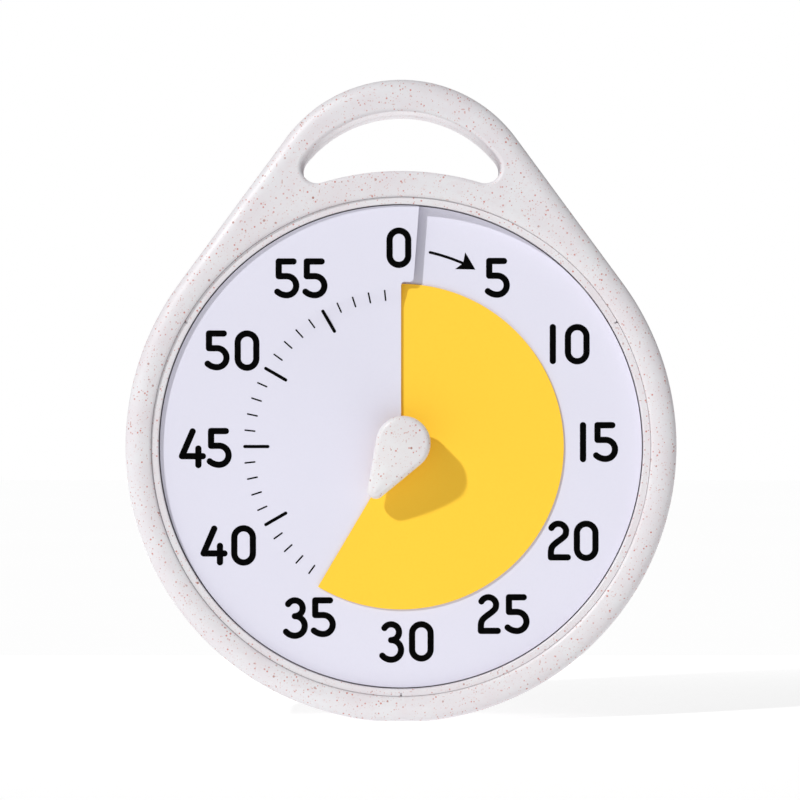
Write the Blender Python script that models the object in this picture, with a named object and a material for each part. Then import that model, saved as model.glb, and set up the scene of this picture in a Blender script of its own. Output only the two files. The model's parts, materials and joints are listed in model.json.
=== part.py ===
"""Countdown timer with a sixty-minute dial, a carrying handle and a battery movement.

The dial faces -Y and +Z is up. The origin is on the small flat that the case stands on.
Shapes are described in millimetres about the dial's axis: across is to the right, up is up
and depth runs from the front to the back. Every mesh is built in metres.
"""

import math

import bmesh
import bpy

MM = 0.001
GAP = 0.3

# Case
CASE_RADIUS = 81.7
AXIS_HEIGHT = 81.4
CASE_FRONT = -15.0
CASE_BACK = 15.0
SEAM = 1.5
WALL = 2.0
FRONT_ROUND = 4.5
BACK_ROUND = 3.0

# Handle and the finger hole below it
HANDLE_RADIUS = 42.3
HANDLE_RISE = 66.45
HOLE_FLOOR = 81.6
HOLE_RADIUS = 36.7
HOLE_RISE = 62.5
HOLE_CORNER = 4.7
HOLE_ROUND = 4.0

# Dial, its ring and its carrier
OPENING_RADIUS = 74.0
TUBE_RADIUS = 75.8
RING_INNER = 71.85
RING_OUTER = 73.7
RING_FACE = -13.7
RING_FOOT = -7.7
CLIP_ANGLES = (60, 180, 300)
FLANGE_FRONT = -5.6
FLANGE_BACK = -4.1
FLANGE_INNER = 69.5
DIAL_RADIUS = 71.5
DIAL_HOLE = 6.8
DIAL_START = -10.1
DIAL_SHEET = 0.5
TAB_RADIUS = 48.9
TAB_ANGLE = 4.3
FLOOR_FRONT = -7.4
FLOOR_BACK = -5.9

# Coloured disc: one turn of the same thread as the dial
THREAD_RISE = 2.6
DISC_RADIUS = 48.3
DISC_SHEET = 0.3
DISC_ANGLE = 210
HUB_RADIUS = 6.0

# Knob
KNOB_BASE = -15.2
KNOB_TOP = -24.0
KNOB_TIP_TOP = -18.6
KNOB_HEAD = 8.05
KNOB_HEAD_OFFSET = 1.25
KNOB_TIP = 2.5
KNOB_LENGTH = 16.1
SPINDLE_RADIUS = 1.9
SPINDLE_FLAT = 1.5

# Movement: wheel train, motor and box
BOX_LEFT = -26.5
BOX_RIGHT = 16.5
BOX_BOTTOM = -28.0
BOX_TOP = 17.0
BASE_FRONT = -5.6
BASE_BACK = -4.4
COVER_BACK = 8.6
COVER_WALL = 1.2
WHEEL_TEETH = 36
MOTOR_TEETH = 30
PINION_TEETH = 6
FIRST_MODULE = 0.6
NEXT_MODULE = 1.6 / 3
THIRD_BEARING = 160
SECOND_BEARING = 250
ROTOR_BEARING = 300
ARBOR_RADIUS = 0.5
STATOR_FRONT = 4.8
STATOR_BACK = 5.8
CORE_FRONT = 3.5
CORE_BACK = 4.5
COIL_UP = -21.5
STATOR_PEGS = ((12.25, -10.6), (-14.8, -21.3))
BOX_SCREWS = ((-23.4, 13.9), (13.4, 13.9), (-23.4, -24.9))

# Back of the case
CASE_SCREWS = ((40, 72.6), (145, 72.6), (215, 72.6), (320, 72.6), (0, 103.95))
PILOT_END = -3.4
STAND_HALF = 20.0
STAND_HINGE_UP = 14.0
STAND_HINGE_DEPTH = 13.0
STAND_FOOT_UP = -50.0
STAND_BARREL = 1.9
BAY_LEFT = -28.5
BAY_RIGHT = 27.6
BAY_UP = 33.0
BAY_HALF = 7.5
BATTERY_DEPTH = 5.6
BATTERY_RADIUS = 7.15
SWITCH_ACROSS = 46.0
SWITCH_UP = -10.0
SWITCH_TRAVEL = 4.0
BUZZER_ACROSS = 40.0
BUZZER_UP = -42.0
BOARD_BACK = 4.6


def clear_scene():
    for old in list(bpy.data.objects):
        bpy.data.objects.remove(old, do_unlink=True)


def material(name, colour, roughness, metallic=0.0):
    made = bpy.data.materials.new(name)
    made.use_nodes = True
    shader = made.node_tree.nodes["Principled BSDF"]
    shader.inputs["Base Color"].default_value = (*colour, 1.0)
    shader.inputs["Roughness"].default_value = roughness
    shader.inputs["Metallic"].default_value = metallic
    made.diffuse_color = (*colour, 1.0)
    return made


# Meshes. Points are (across, depth, up) about the dial's axis, and centre moves the origin.


def solid(name, points, faces, skin=None, centre=(0.0, 0.0, 0.0)):
    mesh = bpy.data.meshes.new(name)
    local = [[(p[i] - centre[i]) * MM for i in range(3)] for p in points]
    mesh.from_pydata(local, [], faces)
    body = bmesh.new()
    body.from_mesh(mesh)
    bmesh.ops.remove_doubles(body, verts=body.verts, dist=1e-7)
    loose = [edge for edge in body.edges if not edge.link_faces]
    bmesh.ops.delete(body, geom=loose, context="EDGES")
    bmesh.ops.recalc_face_normals(body, faces=body.faces)
    body.to_mesh(mesh)
    body.free()
    made = bpy.data.objects.new(name, mesh)
    bpy.context.scene.collection.objects.link(made)
    made.location = (centre[0] * MM, centre[1] * MM, (centre[2] + AXIS_HEIGHT) * MM)
    if skin:
        mesh.materials.append(skin)
        mesh.set_sharp_from_angle(angle=math.radians(40))
    return made


def loft(name, rings, skin=None, centre=(0.0, 0.0, 0.0), closed=False):
    """Skin over rings of equal length, with flat ends or, if closed, joined back to the first."""
    count = len(rings[0])
    points = [point for ring in rings for point in ring]
    faces = []
    last = len(rings) if closed else len(rings) - 1
    for i in range(last):
        near = i * count
        far = (i + 1) % len(rings) * count
        for j in range(count):
            k = (j + 1) % count
            faces.append((near + j, near + k, far + k, far + j))
    if not closed:
        faces.append(tuple(range(count)))
        faces.append(tuple(range(last * count, last * count + count)))
    return solid(name, points, faces, skin, centre)


def prism(name, outline, front, back, skin=None, centre=(0.0, 0.0, 0.0)):
    rings = [[(a, depth, u) for a, u in outline] for depth in (front, back)]
    return loft(name, rings, skin, centre)


def box(name, across, depth, up, skin=None, centre=(0.0, 0.0, 0.0)):
    outline = [(across[0], up[0]), (across[1], up[0]), (across[1], up[1]), (across[0], up[1])]
    return prism(name, outline, depth[0], depth[1], skin, centre)


def turned(name, profile, steps, at=(0.0, 0.0), skin=None, centre=(0.0, 0.0, 0.0)):
    """Closed profile of (radius, depth), turned about a line that runs front to back."""
    rings = []
    for i in range(steps):
        turn = 2 * math.pi * i / steps
        rings.append(
            [(at[0] + r * math.sin(turn), depth, at[1] + r * math.cos(turn)) for r, depth in profile]
        )
    return loft(name, rings, skin, centre, closed=True)


def rod(name, radius, front, back, at=(0.0, 0.0), steps=20, skin=None, centre=(0.0, 0.0, 0.0)):
    outline = arc(at, radius, 0, 360, steps)[:-1]
    return prism(name, outline, front, back, skin, centre)


def tube(name, path, radius, sides, skin=None, per_leg=3):
    """Round wire along a smooth curve through the path's points."""
    curve = smooth_path(path, per_leg)
    rings = []
    side = None
    for i, here in enumerate(curve):
        before = curve[max(i - 1, 0)]
        after = curve[min(i + 1, len(curve) - 1)]
        along = unit([after[k] - before[k] for k in range(3)])
        if side is None:
            side = unit(cross(along, (0.31, 0.52, 0.8)))
        side = unit([side[k] - along[k] * dot(side, along) for k in range(3)])
        other = cross(along, side)
        ring = []
        for j in range(sides):
            turn = 2 * math.pi * j / sides
            across = math.cos(turn) * radius
            over = math.sin(turn) * radius
            ring.append([here[k] + side[k] * across + other[k] * over for k in range(3)])
        rings.append(ring)
    return loft(name, rings, skin)


def smooth_path(path, per_leg):
    """Points of a curve that passes through every point of the path."""
    ends = [path[0]] + list(path) + [path[-1]]
    curve = []
    for i in range(1, len(ends) - 2):
        p0, p1, p2, p3 = ends[i - 1 : i + 3]
        for step in range(per_leg):
            t = step / per_leg
            curve.append(
                [
                    0.5
                    * (
                        2 * p1[k]
                        + (p2[k] - p0[k]) * t
                        + (2 * p0[k] - 5 * p1[k] + 4 * p2[k] - p3[k]) * t * t
                        + (3 * p1[k] - p0[k] - 3 * p2[k] + p3[k]) * t * t * t
                    )
                    for k in range(3)
                ]
            )
    curve.append(list(path[-1]))
    return curve


def dot(a, b):
    return sum(x * y for x, y in zip(a, b))


def unit(a):
    length = math.sqrt(dot(a, a))
    return [x / length for x in a]


def cross(a, b):
    return [
        a[1] * b[2] - a[2] * b[1],
        a[2] * b[0] - a[0] * b[2],
        a[0] * b[1] - a[1] * b[0],
    ]


def sheet(name, columns, cells, skin=None):
    """Thin sheet from a grid of (front point, back point) pairs and the cells to fill."""
    points = []
    index = {}
    for key, (front, back) in columns.items():
        index[key] = len(points)
        points += [front, back]
    faces = []
    edges = {}
    for corners in cells:
        top = [index[key] for key in corners]
        faces.append(tuple(top))
        faces.append(tuple(i + 1 for i in reversed(top)))
        for i in range(4):
            a, b = top[i], top[(i + 1) % 4]
            if (b, a) in edges:
                del edges[(b, a)]
            else:
                edges[(a, b)] = True
    for a, b in edges:
        faces.append((b, a, a + 1, b + 1))
    return solid(name, points, faces, skin)


def modify(target, cutters, operation):
    """The exact solver leaves the front housing open, so that one takes the manifold solver."""
    for cutter in cutters:
        change = target.modifiers.new(cutter.name, "BOOLEAN")
        change.operation = operation
        change.solver = "MANIFOLD" if target.name == "front_housing" else "EXACT"
        change.object = cutter
        cutter.hide_render = True
        cutter.display_type = "WIRE"


def cut(target, *cutters):
    modify(target, cutters, "DIFFERENCE")


def add(target, *pieces):
    modify(target, pieces, "UNION")


# Outlines in the plane of the dial, as (across, up) points


def clock(angle, radius):
    """The point at an angle clockwise from twelve, in degrees."""
    return (radius * math.sin(math.radians(angle)), radius * math.cos(math.radians(angle)))


def arc(middle, radius, start, end, steps):
    points = []
    for i in range(steps + 1):
        a, u = clock(start + (end - start) * i / steps, radius)
        points.append((middle[0] + a, middle[1] + u))
    return points


def case_outline(inset):
    """The round case with its foot flat, and the handle's arc on top."""
    tangent = math.degrees(math.acos((CASE_RADIUS - HANDLE_RADIUS) / HANDLE_RISE))
    radius = CASE_RADIUS - inset
    foot = math.degrees(math.acos((AXIS_HEIGHT - inset) / radius))
    top = arc((0, HANDLE_RISE), HANDLE_RADIUS - inset, -tangent, tangent, 12)
    right = arc((0, 0), radius, tangent, 90, 7) + arc((0, 0), radius, 90, 180 - foot, 15)[1:]
    left = [(-across, up) for across, up in reversed(right)]
    return top + right + left


def hole_outline(grow):
    """The finger hole: a bowed slot between the dial's rim and the handle."""
    low = HOLE_FLOOR + HOLE_CORNER
    high = HOLE_RADIUS - HOLE_CORNER
    up = (low**2 - high**2 + HOLE_RISE**2) / (2 * HOLE_RISE)
    across = math.sqrt(low**2 - up**2)
    lean = math.degrees(math.atan2(across, up))
    spread = math.degrees(math.atan2(across, up - HOLE_RISE))
    corner = HOLE_CORNER + grow
    upper = arc((0, HOLE_RISE), HOLE_RADIUS + grow, -spread, spread, 12)
    right = arc((across, up), corner, spread, 180 + lean, 6)
    lower = arc((0, 0), HOLE_FLOOR - grow, lean, -lean, 8)
    left = arc((-across, up), corner, 180 - lean, 360 - spread, 6)
    return upper + right[1:] + lower[1:] + left[1:-1]


def layers(outline, steps):
    """Rings of an outline, one for each (offset, depth)."""
    return [[(a, depth, u) for a, u in outline(offset)] for offset, depth in steps]


def rounded(start, depth, radius, direction, angles=(0, 30, 60, 90)):
    """Steps of (offset, depth) round an edge that begins at a straight side."""
    steps = []
    for angle in angles:
        turn = math.radians(angle)
        out = start + radius * (1 - math.cos(turn))
        steps.append((out, depth + direction * radius * math.sin(turn)))
    return steps


def case_body(name, steps, skin=None):
    return loft(name, layers(case_outline, steps), skin)


def hole_body(name, steps):
    return loft(name, layers(hole_outline, steps))


def turned_about(angle, width, inner, outer, front, back, name):
    """Block of a given width that lies along the radius at an angle."""
    a, u = clock(angle, 1.0)
    side = (u * width / 2, -a * width / 2)
    outline = []
    for radius, way in ((inner, -1), (inner, 1), (outer, 1), (outer, -1)):
        outline.append((a * radius + way * side[0], u * radius + way * side[1]))
    return prism(name, outline, front, back)


def gear_outline(teeth, module, addendum, dedendum, root, tip, middle, phase):
    """Straight-flanked teeth. Phase is the bearing of the first tooth, from across towards up."""
    pitch = 2 * math.pi / teeth
    low = module * (teeth / 2 - dedendum)
    high = module * (teeth / 2 + addendum)
    points = []
    for tooth in range(teeth):
        bearing = math.radians(phase) + tooth * pitch
        for radius, share in ((low, -root), (high, -tip), (high, tip), (low, root)):
            turn = bearing + share * pitch / 2
            points.append(
                (middle[0] + radius * math.cos(turn), middle[1] + radius * math.sin(turn))
            )
    return points


def wheel_outline(teeth, module, middle, phase):
    return gear_outline(teeth, module, 1.0, 1.0, 0.5, 0.2, middle, phase)


def pinion_outline(module, middle, phase):
    return gear_outline(PINION_TEETH, module, 0.7, 1.35, 0.45, 0.2, middle, phase)


def beyond(middle, bearing, distance):
    turn = math.radians(bearing)
    return (middle[0] + distance * math.cos(turn), middle[1] + distance * math.sin(turn))


# Materials

CASE_SKIN = material("speckled_case", (0.80, 0.79, 0.80), 0.5)
RING_SKIN = material("speckled_ring", (0.80, 0.79, 0.80), 0.5)
KNOB_SKIN = material("speckled_knob", (0.80, 0.79, 0.80), 0.5)
BACK_SKIN = material("speckled_back", (0.79, 0.78, 0.79), 0.55)
DOOR_SKIN = material("speckled_door", (0.79, 0.78, 0.79), 0.55)
STAND_SKIN = material("speckled_stand", (0.79, 0.78, 0.79), 0.55)
DIAL_SKIN = material("dial_sheet", (0.77, 0.77, 0.86), 0.5)
DISC_SKIN = material("yellow_sheet", (0.98, 0.67, 0.07), 0.45)
CARRIER_SKIN = material("carrier_plastic", (0.72, 0.72, 0.76), 0.6)
BOX_SKIN = material("movement_plastic", (0.06, 0.06, 0.065), 0.55)
COVER_SKIN = material("movement_cover_plastic", (0.05, 0.05, 0.055), 0.55)
SPINDLE_SKIN = material("spindle_nylon", (0.85, 0.85, 0.82), 0.45)
WHEEL_SKIN = material("wheel_acetal", (0.86, 0.86, 0.82), 0.4)
THIRD_SKIN = material("third_wheel_acetal", (0.86, 0.82, 0.70), 0.4)
SECOND_SKIN = material("second_wheel_acetal", (0.55, 0.70, 0.82), 0.4)
ROTOR_SKIN = material("rotor_magnet", (0.12, 0.12, 0.13), 0.5, 0.4)
STATOR_SKIN = material("stator_iron", (0.55, 0.55, 0.56), 0.4, 1.0)
CORE_SKIN = material("core_iron", (0.5, 0.5, 0.52), 0.4, 1.0)
BOBBIN_SKIN = material("bobbin_plastic", (0.10, 0.25, 0.12), 0.5)
WINDING_SKIN = material("winding_copper", (0.72, 0.30, 0.12), 0.35, 1.0)
STEEL_SKIN = material("spring_steel", (0.62, 0.62, 0.63), 0.3, 1.0)
CLIP_SKIN = material("clip_steel", (0.5, 0.5, 0.52), 0.3, 1.0)
BATTERY_STEEL_SKIN = material("contact_nickel", (0.66, 0.64, 0.6), 0.3, 1.0)
SPRING_SKIN = material("contact_spring_nickel", (0.66, 0.64, 0.6), 0.3, 1.0)
SCREW_SKIN = material("screw_steel", (0.58, 0.58, 0.6), 0.3, 1.0)
CAM_SKIN = material("cam_acetal", (0.8, 0.4, 0.15), 0.45)
CONTACT_SKIN = material("contact_bronze", (0.75, 0.5, 0.22), 0.3, 1.0)
BOARD_SKIN = material("board_laminate", (0.03, 0.22, 0.10), 0.45)
CHIP_SKIN = material("chip_epoxy", (0.02, 0.02, 0.022), 0.4)
CRYSTAL_SKIN = material("crystal_can_tin", (0.7, 0.7, 0.7), 0.25, 1.0)
SWITCH_SKIN = material("switch_body_plastic", (0.04, 0.04, 0.045), 0.5)
SLIDER_SKIN = material("slider_plastic", (0.25, 0.25, 0.27), 0.5)
BUZZER_SKIN = material("buzzer_case_plastic", (0.03, 0.03, 0.032), 0.5)
BRASS_SKIN = material("buzzer_brass", (0.8, 0.58, 0.25), 0.3, 1.0)
BATTERY_SKIN = material("battery_wrap", (0.08, 0.20, 0.42), 0.35)
PIN_SKIN = material("pin_steel", (0.6, 0.6, 0.62), 0.3, 1.0)
RED_SKIN = material("red_insulation", (0.6, 0.03, 0.02), 0.5)
BLACK_SKIN = material("black_insulation", (0.02, 0.02, 0.02), 0.5)
WHITE_SKIN = material("white_insulation", (0.75, 0.75, 0.72), 0.5)
LEAD_SKIN = material("enamelled_copper", (0.6, 0.22, 0.08), 0.35, 1.0)


# Case


def screw_places():
    return [clock(angle, radius) for angle, radius in CASE_SCREWS]


def make_front_housing():
    edge = rounded(0, CASE_FRONT + FRONT_ROUND, FRONT_ROUND, -1)
    body = case_body("front_housing", [(0, SEAM + 2)] + edge, CASE_SKIN)
    inner = FRONT_ROUND - WALL
    hollow = rounded(WALL, CASE_FRONT + FRONT_ROUND, inner, -1, (0, 50, 90))
    cut(body, case_body("front_hollow", [(WALL, SEAM + 4)] + hollow))
    add(body, hole_body("front_hole_wall", [(1.8, -13.6), (1.8, SEAM + 2)]))
    well = [(68.0, -13.8), (TUBE_RADIUS, -13.8), (TUBE_RADIUS, FLANGE_BACK), (68.0, FLANGE_BACK)]
    add(body, turned("front_well", well, 60))
    for i, place in enumerate(screw_places()):
        root = -4.9 if abs(place[0]) > 1 else -13.7
        add(body, rod(f"front_boss_{i}", 3.0, root, SEAM + 2, place, 12))
    mouth = CASE_FRONT + HOLE_ROUND
    flare = rounded(0, mouth, HOLE_ROUND, -1, (0, 30, 60, 83))
    cut(body, hole_body("front_hole", [(0, SEAM + 4)] + flare + [(HOLE_ROUND + 0.7, -15.4)]))
    opening = [
        (0, -16.0),
        (OPENING_RADIUS + 3.2, -16.0),
        (OPENING_RADIUS + 2.2, -14.98),
        (OPENING_RADIUS + 1.0, -14.7),
        (OPENING_RADIUS + 0.3, -14.15),
        (OPENING_RADIUS, -13.4),
        (OPENING_RADIUS, FLANGE_FRONT),
        (FLANGE_INNER, FLANGE_FRONT),
        (FLANGE_INNER, FLANGE_BACK + 1),
        (0, FLANGE_BACK + 1),
    ]
    cut(body, turned("front_opening", opening, 72))
    for i, angle in enumerate(CLIP_ANGLES):
        cut(body, turned_about(angle, 8.6, 71.6, 73.5, -7.0, -3.0, f"clip_window_{i}"))
    for i, place in enumerate(screw_places()):
        cut(body, rod(f"front_pilot_{i}", 1.15, PILOT_END, SEAM + 3, place, 10))
    half = SEAM - GAP / 2
    cut(body, box("front_trim", (-90, 90), (half, half + 10), (-90, 120)))
    return body


def make_rear_housing():
    edge = rounded(0, CASE_BACK - BACK_ROUND, BACK_ROUND, 1, (0, 30, 60, 90))
    body = case_body("rear_housing", [(0, SEAM - 2)] + edge, BACK_SKIN)
    hollow = [(WALL, SEAM - 4), (WALL, 11.6), (WALL + 1.4, 13.0)]
    cut(body, case_body("rear_hollow", hollow))
    add(body, hole_body("rear_hole_wall", [(1.8, SEAM - 2), (1.8, 13.6)]))
    for i, place in enumerate(screw_places()):
        add(body, rod(f"rear_post_{i}", 3.0, SEAM - 2, 13.7, place, 12))
    flare = rounded(0, CASE_BACK - 2.5, 2.5, 1, (0, 30, 60, 80))
    cut(body, hole_body("rear_hole", [(0, SEAM - 4)] + flare + [(2.8, 15.4)]))
    for i, place in enumerate(screw_places()):
        shaft = [(0, 0), (1.15, 0), (1.15, 8.0), (2.2, 8.0), (2.2, 16.0), (0, 16.0)]
        cut(body, turned(f"rear_bore_{i}", shaft, 12, place))
    half = SEAM + GAP / 2
    cut(body, box("rear_trim", (-90, 90), (half - 10, half), (-90, 120)))

    # Battery bay
    low = BAY_UP - BAY_HALF
    high = BAY_UP + BAY_HALF
    add(body, box("bay_block", (-31.8, 31.8), (-3.5, 13.6), (low - 2.1, high + 2.1)))
    cut(body, box("bay_pocket", (BAY_LEFT, BAY_RIGHT), (-2.0, 16.0), (low, high)))
    cut(body, box("bay_door_seat", (-31.0, 31.0), (12.9, 16.0), (low - 1.3, high + 1.3)))
    cut(body, box("bay_thumb_notch", (-6.0, 6.0), (14.1, 16.0), (high + 1.0, high + 4.0)))
    cut(body, box("bay_tab_slot", (27.0, 33.0), (1.9, 3.3), (BAY_UP - 2.4, BAY_UP + 2.4)))
    cut(body, box("bay_wire_slot", (-33.0, -28.0), (-0.6, 1.0), (BAY_UP - 1.0, BAY_UP + 1.0)))

    # Stand recess and its hinge seat
    wide = STAND_HALF + 0.5
    foot = STAND_FOOT_UP
    hinge = STAND_HINGE_UP
    add(body, box("stand_floor", (-wide - 2, wide + 2), (10.5, 13.5), (foot - 3, 11.0)))
    add(body, box("stand_seat", (-wide - 4, wide + 4), (9.2, 13.6), (10.0, 18.0)))
    cut(body, box("stand_recess", (-wide, wide), (12.1, 16.0), (foot - 0.5, hinge + 0.5)))
    barrel = STAND_BARREL + 0.4
    lay = arc((STAND_HINGE_DEPTH, hinge), barrel, 0, 360, 20)[:-1]
    trough = [[(across, d, u) for d, u in lay] for across in (-wide, wide)]
    cut(body, loft("stand_trough", trough))
    mouth = (hinge - 1.0, hinge + barrel)
    cut(body, box("stand_mouth", (-wide, wide), (STAND_HINGE_DEPTH, 16.0), mouth))
    cut(body, box("stand_thumb_notch", (-7.0, 7.0), (13.2, 16.0), (foot - 4.5, foot)))
    lay = arc((STAND_HINGE_DEPTH, hinge), 1.2, 0, 360, 12)[:-1]
    bore = [[(across, d, u) for d, u in lay] for across in (-wide - 2.6, wide + 2.6)]
    cut(body, loft("stand_pin_bore", bore))

    # Volume switch, sound holes and the buzzer's collar
    across = SWITCH_ACROSS
    up = SWITCH_UP
    cut(body, box("switch_slot", (across - 1.6, across + 1.6), (12, 16), (up - 4.1, up + 4.1)))
    cut(body, box("switch_seat", (across - 3.2, across + 3.2), (13.9, 16), (up - 5.8, up + 5.8)))
    middle = (BUZZER_ACROSS, BUZZER_UP)
    collar = [(10.3, 9.0), (11.6, 9.0), (11.6, 13.6), (10.3, 13.6)]
    add(body, turned("buzzer_collar", collar, 24, middle))
    holes = [middle] + [(middle[0] + a, middle[1] + u) for a, u in arc((0, 0), 4.0, 0, 300, 5)]
    for i, place in enumerate(holes):
        cut(body, rod(f"sound_hole_{i}", 0.8, 12.0, 16.0, place, 10))
    return body


def make_case_screws():
    for i, place in enumerate(screw_places()):
        middle = (place[0], 8.3, place[1])
        profile = [
            (0, 9.9),
            (1.5, 9.9),
            (1.9, 9.5),
            (1.9, 8.3),
            (0.85, 8.3),
            (0.85, PILOT_END + 0.8),
            (0, PILOT_END + 0.3),
        ]
        name = f"housing_screw_{i + 1}"
        screw = turned(name, profile, 10, place, SCREW_SKIN, middle)
        slot = (place[0] - 1.1, place[0] + 1.1)
        narrow = (place[1] - 0.25, place[1] + 0.25)
        cut(screw, box(f"screw_slot_{i}", slot, (9.2, 10.5), narrow))


# Dial


def dial_depth(angle):
    """Depth of the dial's face at an angle clockwise from twelve."""
    return DIAL_START - THREAD_RISE * angle / 360


def make_dial_ring():
    profile = [
        (RING_OUTER, RING_FOOT),
        (RING_OUTER, RING_FACE + 0.15),
        (RING_OUTER - 0.15, RING_FACE),
        (RING_INNER + 0.25, RING_FACE),
        (RING_INNER, RING_FACE + 0.25),
        (RING_INNER, RING_FOOT),
    ]
    ring = turned("dial_ring", profile, 72, skin=RING_SKIN)
    for i, angle in enumerate(CLIP_ANGLES):
        add(ring, turned_about(angle, 8.0, 72.1, 73.2, -8.6, -2.5, f"clip_leg_{i}"))
        add(ring, turned_about(angle, 7.6, 72.6, 74.3, -3.8, -2.7, f"clip_hook_{i}"))
        cut(ring, turned_about(angle, 0.5, 73.0, 74.5, -14.5, -13.1, f"ring_notch_{i}"))
    return ring


def spiral_wall(name, inner, outer, steps):
    """Wall that rises with the dial and carries it."""
    columns = {}
    cells = []
    for i in range(steps + 1):
        angle = 1.2 + 358.0 * i / steps
        for j, radius in enumerate((inner, outer)):
            a, u = clock(angle, radius)
            top = dial_depth(angle) + DIAL_SHEET + GAP
            columns[(i, j)] = ((a, top, u), (a, FLOOR_FRONT + 0.6, u))
        if i:
            cells.append(((i - 1, 0), (i, 0), (i, 1), (i - 1, 1)))
    return sheet(name, columns, cells)


def make_dial_carrier():
    floor = [
        (3.0, FLOOR_FRONT),
        (RING_OUTER, FLOOR_FRONT),
        (RING_OUTER, FLOOR_BACK),
        (3.0, FLOOR_BACK),
    ]
    carrier = turned("dial_carrier", floor, 60, skin=CARRIER_SKIN)
    add(carrier, spiral_wall("outer_spiral_wall", 68.8, 71.2, 48))
    add(carrier, spiral_wall("inner_spiral_wall", 49.4, 50.8, 36))
    for i, angle in enumerate(CLIP_ANGLES):
        cut(carrier, turned_about(angle, 8.7, 71.7, 75.0, -8.0, -5.0, f"carrier_notch_{i}"))
    legs = (
        ((BOX_LEFT - 1.9, BOX_LEFT - 0.3), (-9.0, -1.0), (BOX_LEFT - 1.0, BOX_LEFT + 1.2), 0),
        ((BOX_RIGHT + 0.3, BOX_RIGHT + 1.9), (-9.0, -1.0), (BOX_RIGHT - 1.2, BOX_RIGHT + 1.0), 0),
        ((-9.0, -1.0), (BOX_BOTTOM - 1.9, BOX_BOTTOM - 0.3), (BOX_BOTTOM - 1.0, BOX_BOTTOM + 1.2), 1),
    )
    for i, (across, up, reach, way) in enumerate(legs):
        add(carrier, box(f"box_leg_{i}", across, (-6.6, COVER_BACK + 1.2), up))
        hook = (reach, up) if way == 0 else (across, reach)
        add(carrier, box(f"box_hook_{i}", hook[0], (COVER_BACK + GAP, COVER_BACK + 1.1), hook[1]))
    for i, place in enumerate(((27.5, -16.0), (54.5, 12.0))):
        add(carrier, rod(f"board_post_{i}", 2.0, -6.6, 2.7, place, 14))
        add(carrier, rod(f"board_peg_{i}", 1.0, 2.0, 5.8, place, 12))
    return carrier


def make_dial_plate():
    """Printed sheet: one turn of a thread, cut along the line at twelve."""
    columns = {}
    cells = []
    steps = 80
    radii = (DIAL_HOLE, TAB_RADIUS, DIAL_RADIUS)
    angles = [360 * i / steps for i in range(steps + 1)] + [360 + TAB_ANGLE]
    for i, angle in enumerate(angles):
        for j, radius in enumerate(radii):
            if angle > 360 and j == 0:
                continue
            a, u = clock(angle, radius)
            top = dial_depth(angle)
            columns[(i, j)] = ((a, top, u), (a, top + DIAL_SHEET, u))
        for j in (0, 1):
            if i and (angle <= 360 or j == 1):
                cells.append(((i - 1, j), (i, j), (i, j + 1), (i - 1, j + 1)))
    return sheet("dial_plate", columns, cells, DIAL_SKIN)


def make_time_disc():
    """Yellow sheet that winds out over the dial, moulded with its sliding hub."""
    columns = {}
    cells = []
    steps = 60
    inner = HUB_RADIUS - 0.6
    for i in range(steps + 1):
        angle = DISC_ANGLE - 360 + 360 * i / steps
        back = dial_depth(angle) - GAP
        for j, radius in enumerate((inner, DISC_RADIUS)):
            a, u = clock(angle, radius)
            columns[(i, j)] = ((a, back - DISC_SHEET, u), (a, back, u))
        if i:
            cells.append(((i - 1, 0), (i, 0), (i, 1), (i - 1, 1)))
    disc = sheet("time_disc", columns, cells, DISC_SKIN)
    add(disc, rod("disc_hub", HUB_RADIUS, -12.4, -9.3, steps=20))
    outline = double_flat(SPINDLE_RADIUS + GAP, SPINDLE_FLAT + GAP)
    cut(disc, prism("disc_hub_bore", outline, -16.0, -6.0))
    return disc


def double_flat(radius, flat):
    """Circle with two flats, turned to the knob's tip."""
    half = math.degrees(math.asin(flat / radius))
    points = arc((0, 0), radius, DISC_ANGLE - half, DISC_ANGLE + half, 6)
    points += arc((0, 0), radius, DISC_ANGLE + 180 - half, DISC_ANGLE + 180 + half, 6)
    return points


def knob_outline(inset):
    """Teardrop from the round head to the pointed tip."""
    head = (clock(DISC_ANGLE + 180, KNOB_HEAD_OFFSET))
    reach = KNOB_LENGTH - KNOB_HEAD_OFFSET
    tip = clock(DISC_ANGLE, reach)
    lean = math.degrees(math.acos((KNOB_HEAD - KNOB_TIP) / KNOB_LENGTH))
    points = arc(head, KNOB_HEAD - inset, DISC_ANGLE + lean, DISC_ANGLE + 360 - lean, 24)
    points += arc(tip, KNOB_TIP - inset, DISC_ANGLE - lean, DISC_ANGLE + lean, 8)
    return points


def knob_crown(a, u):
    """Depth of the knob's top above a point, falling faster and faster towards the tip."""
    along = a * clock(DISC_ANGLE, 1)[0] + u * clock(DISC_ANGLE, 1)[1]
    share = min(max((along + 5.0) / (KNOB_LENGTH + 5.0), 0), 1)
    return KNOB_TOP + (KNOB_TIP_TOP - KNOB_TOP) * share**2


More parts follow.
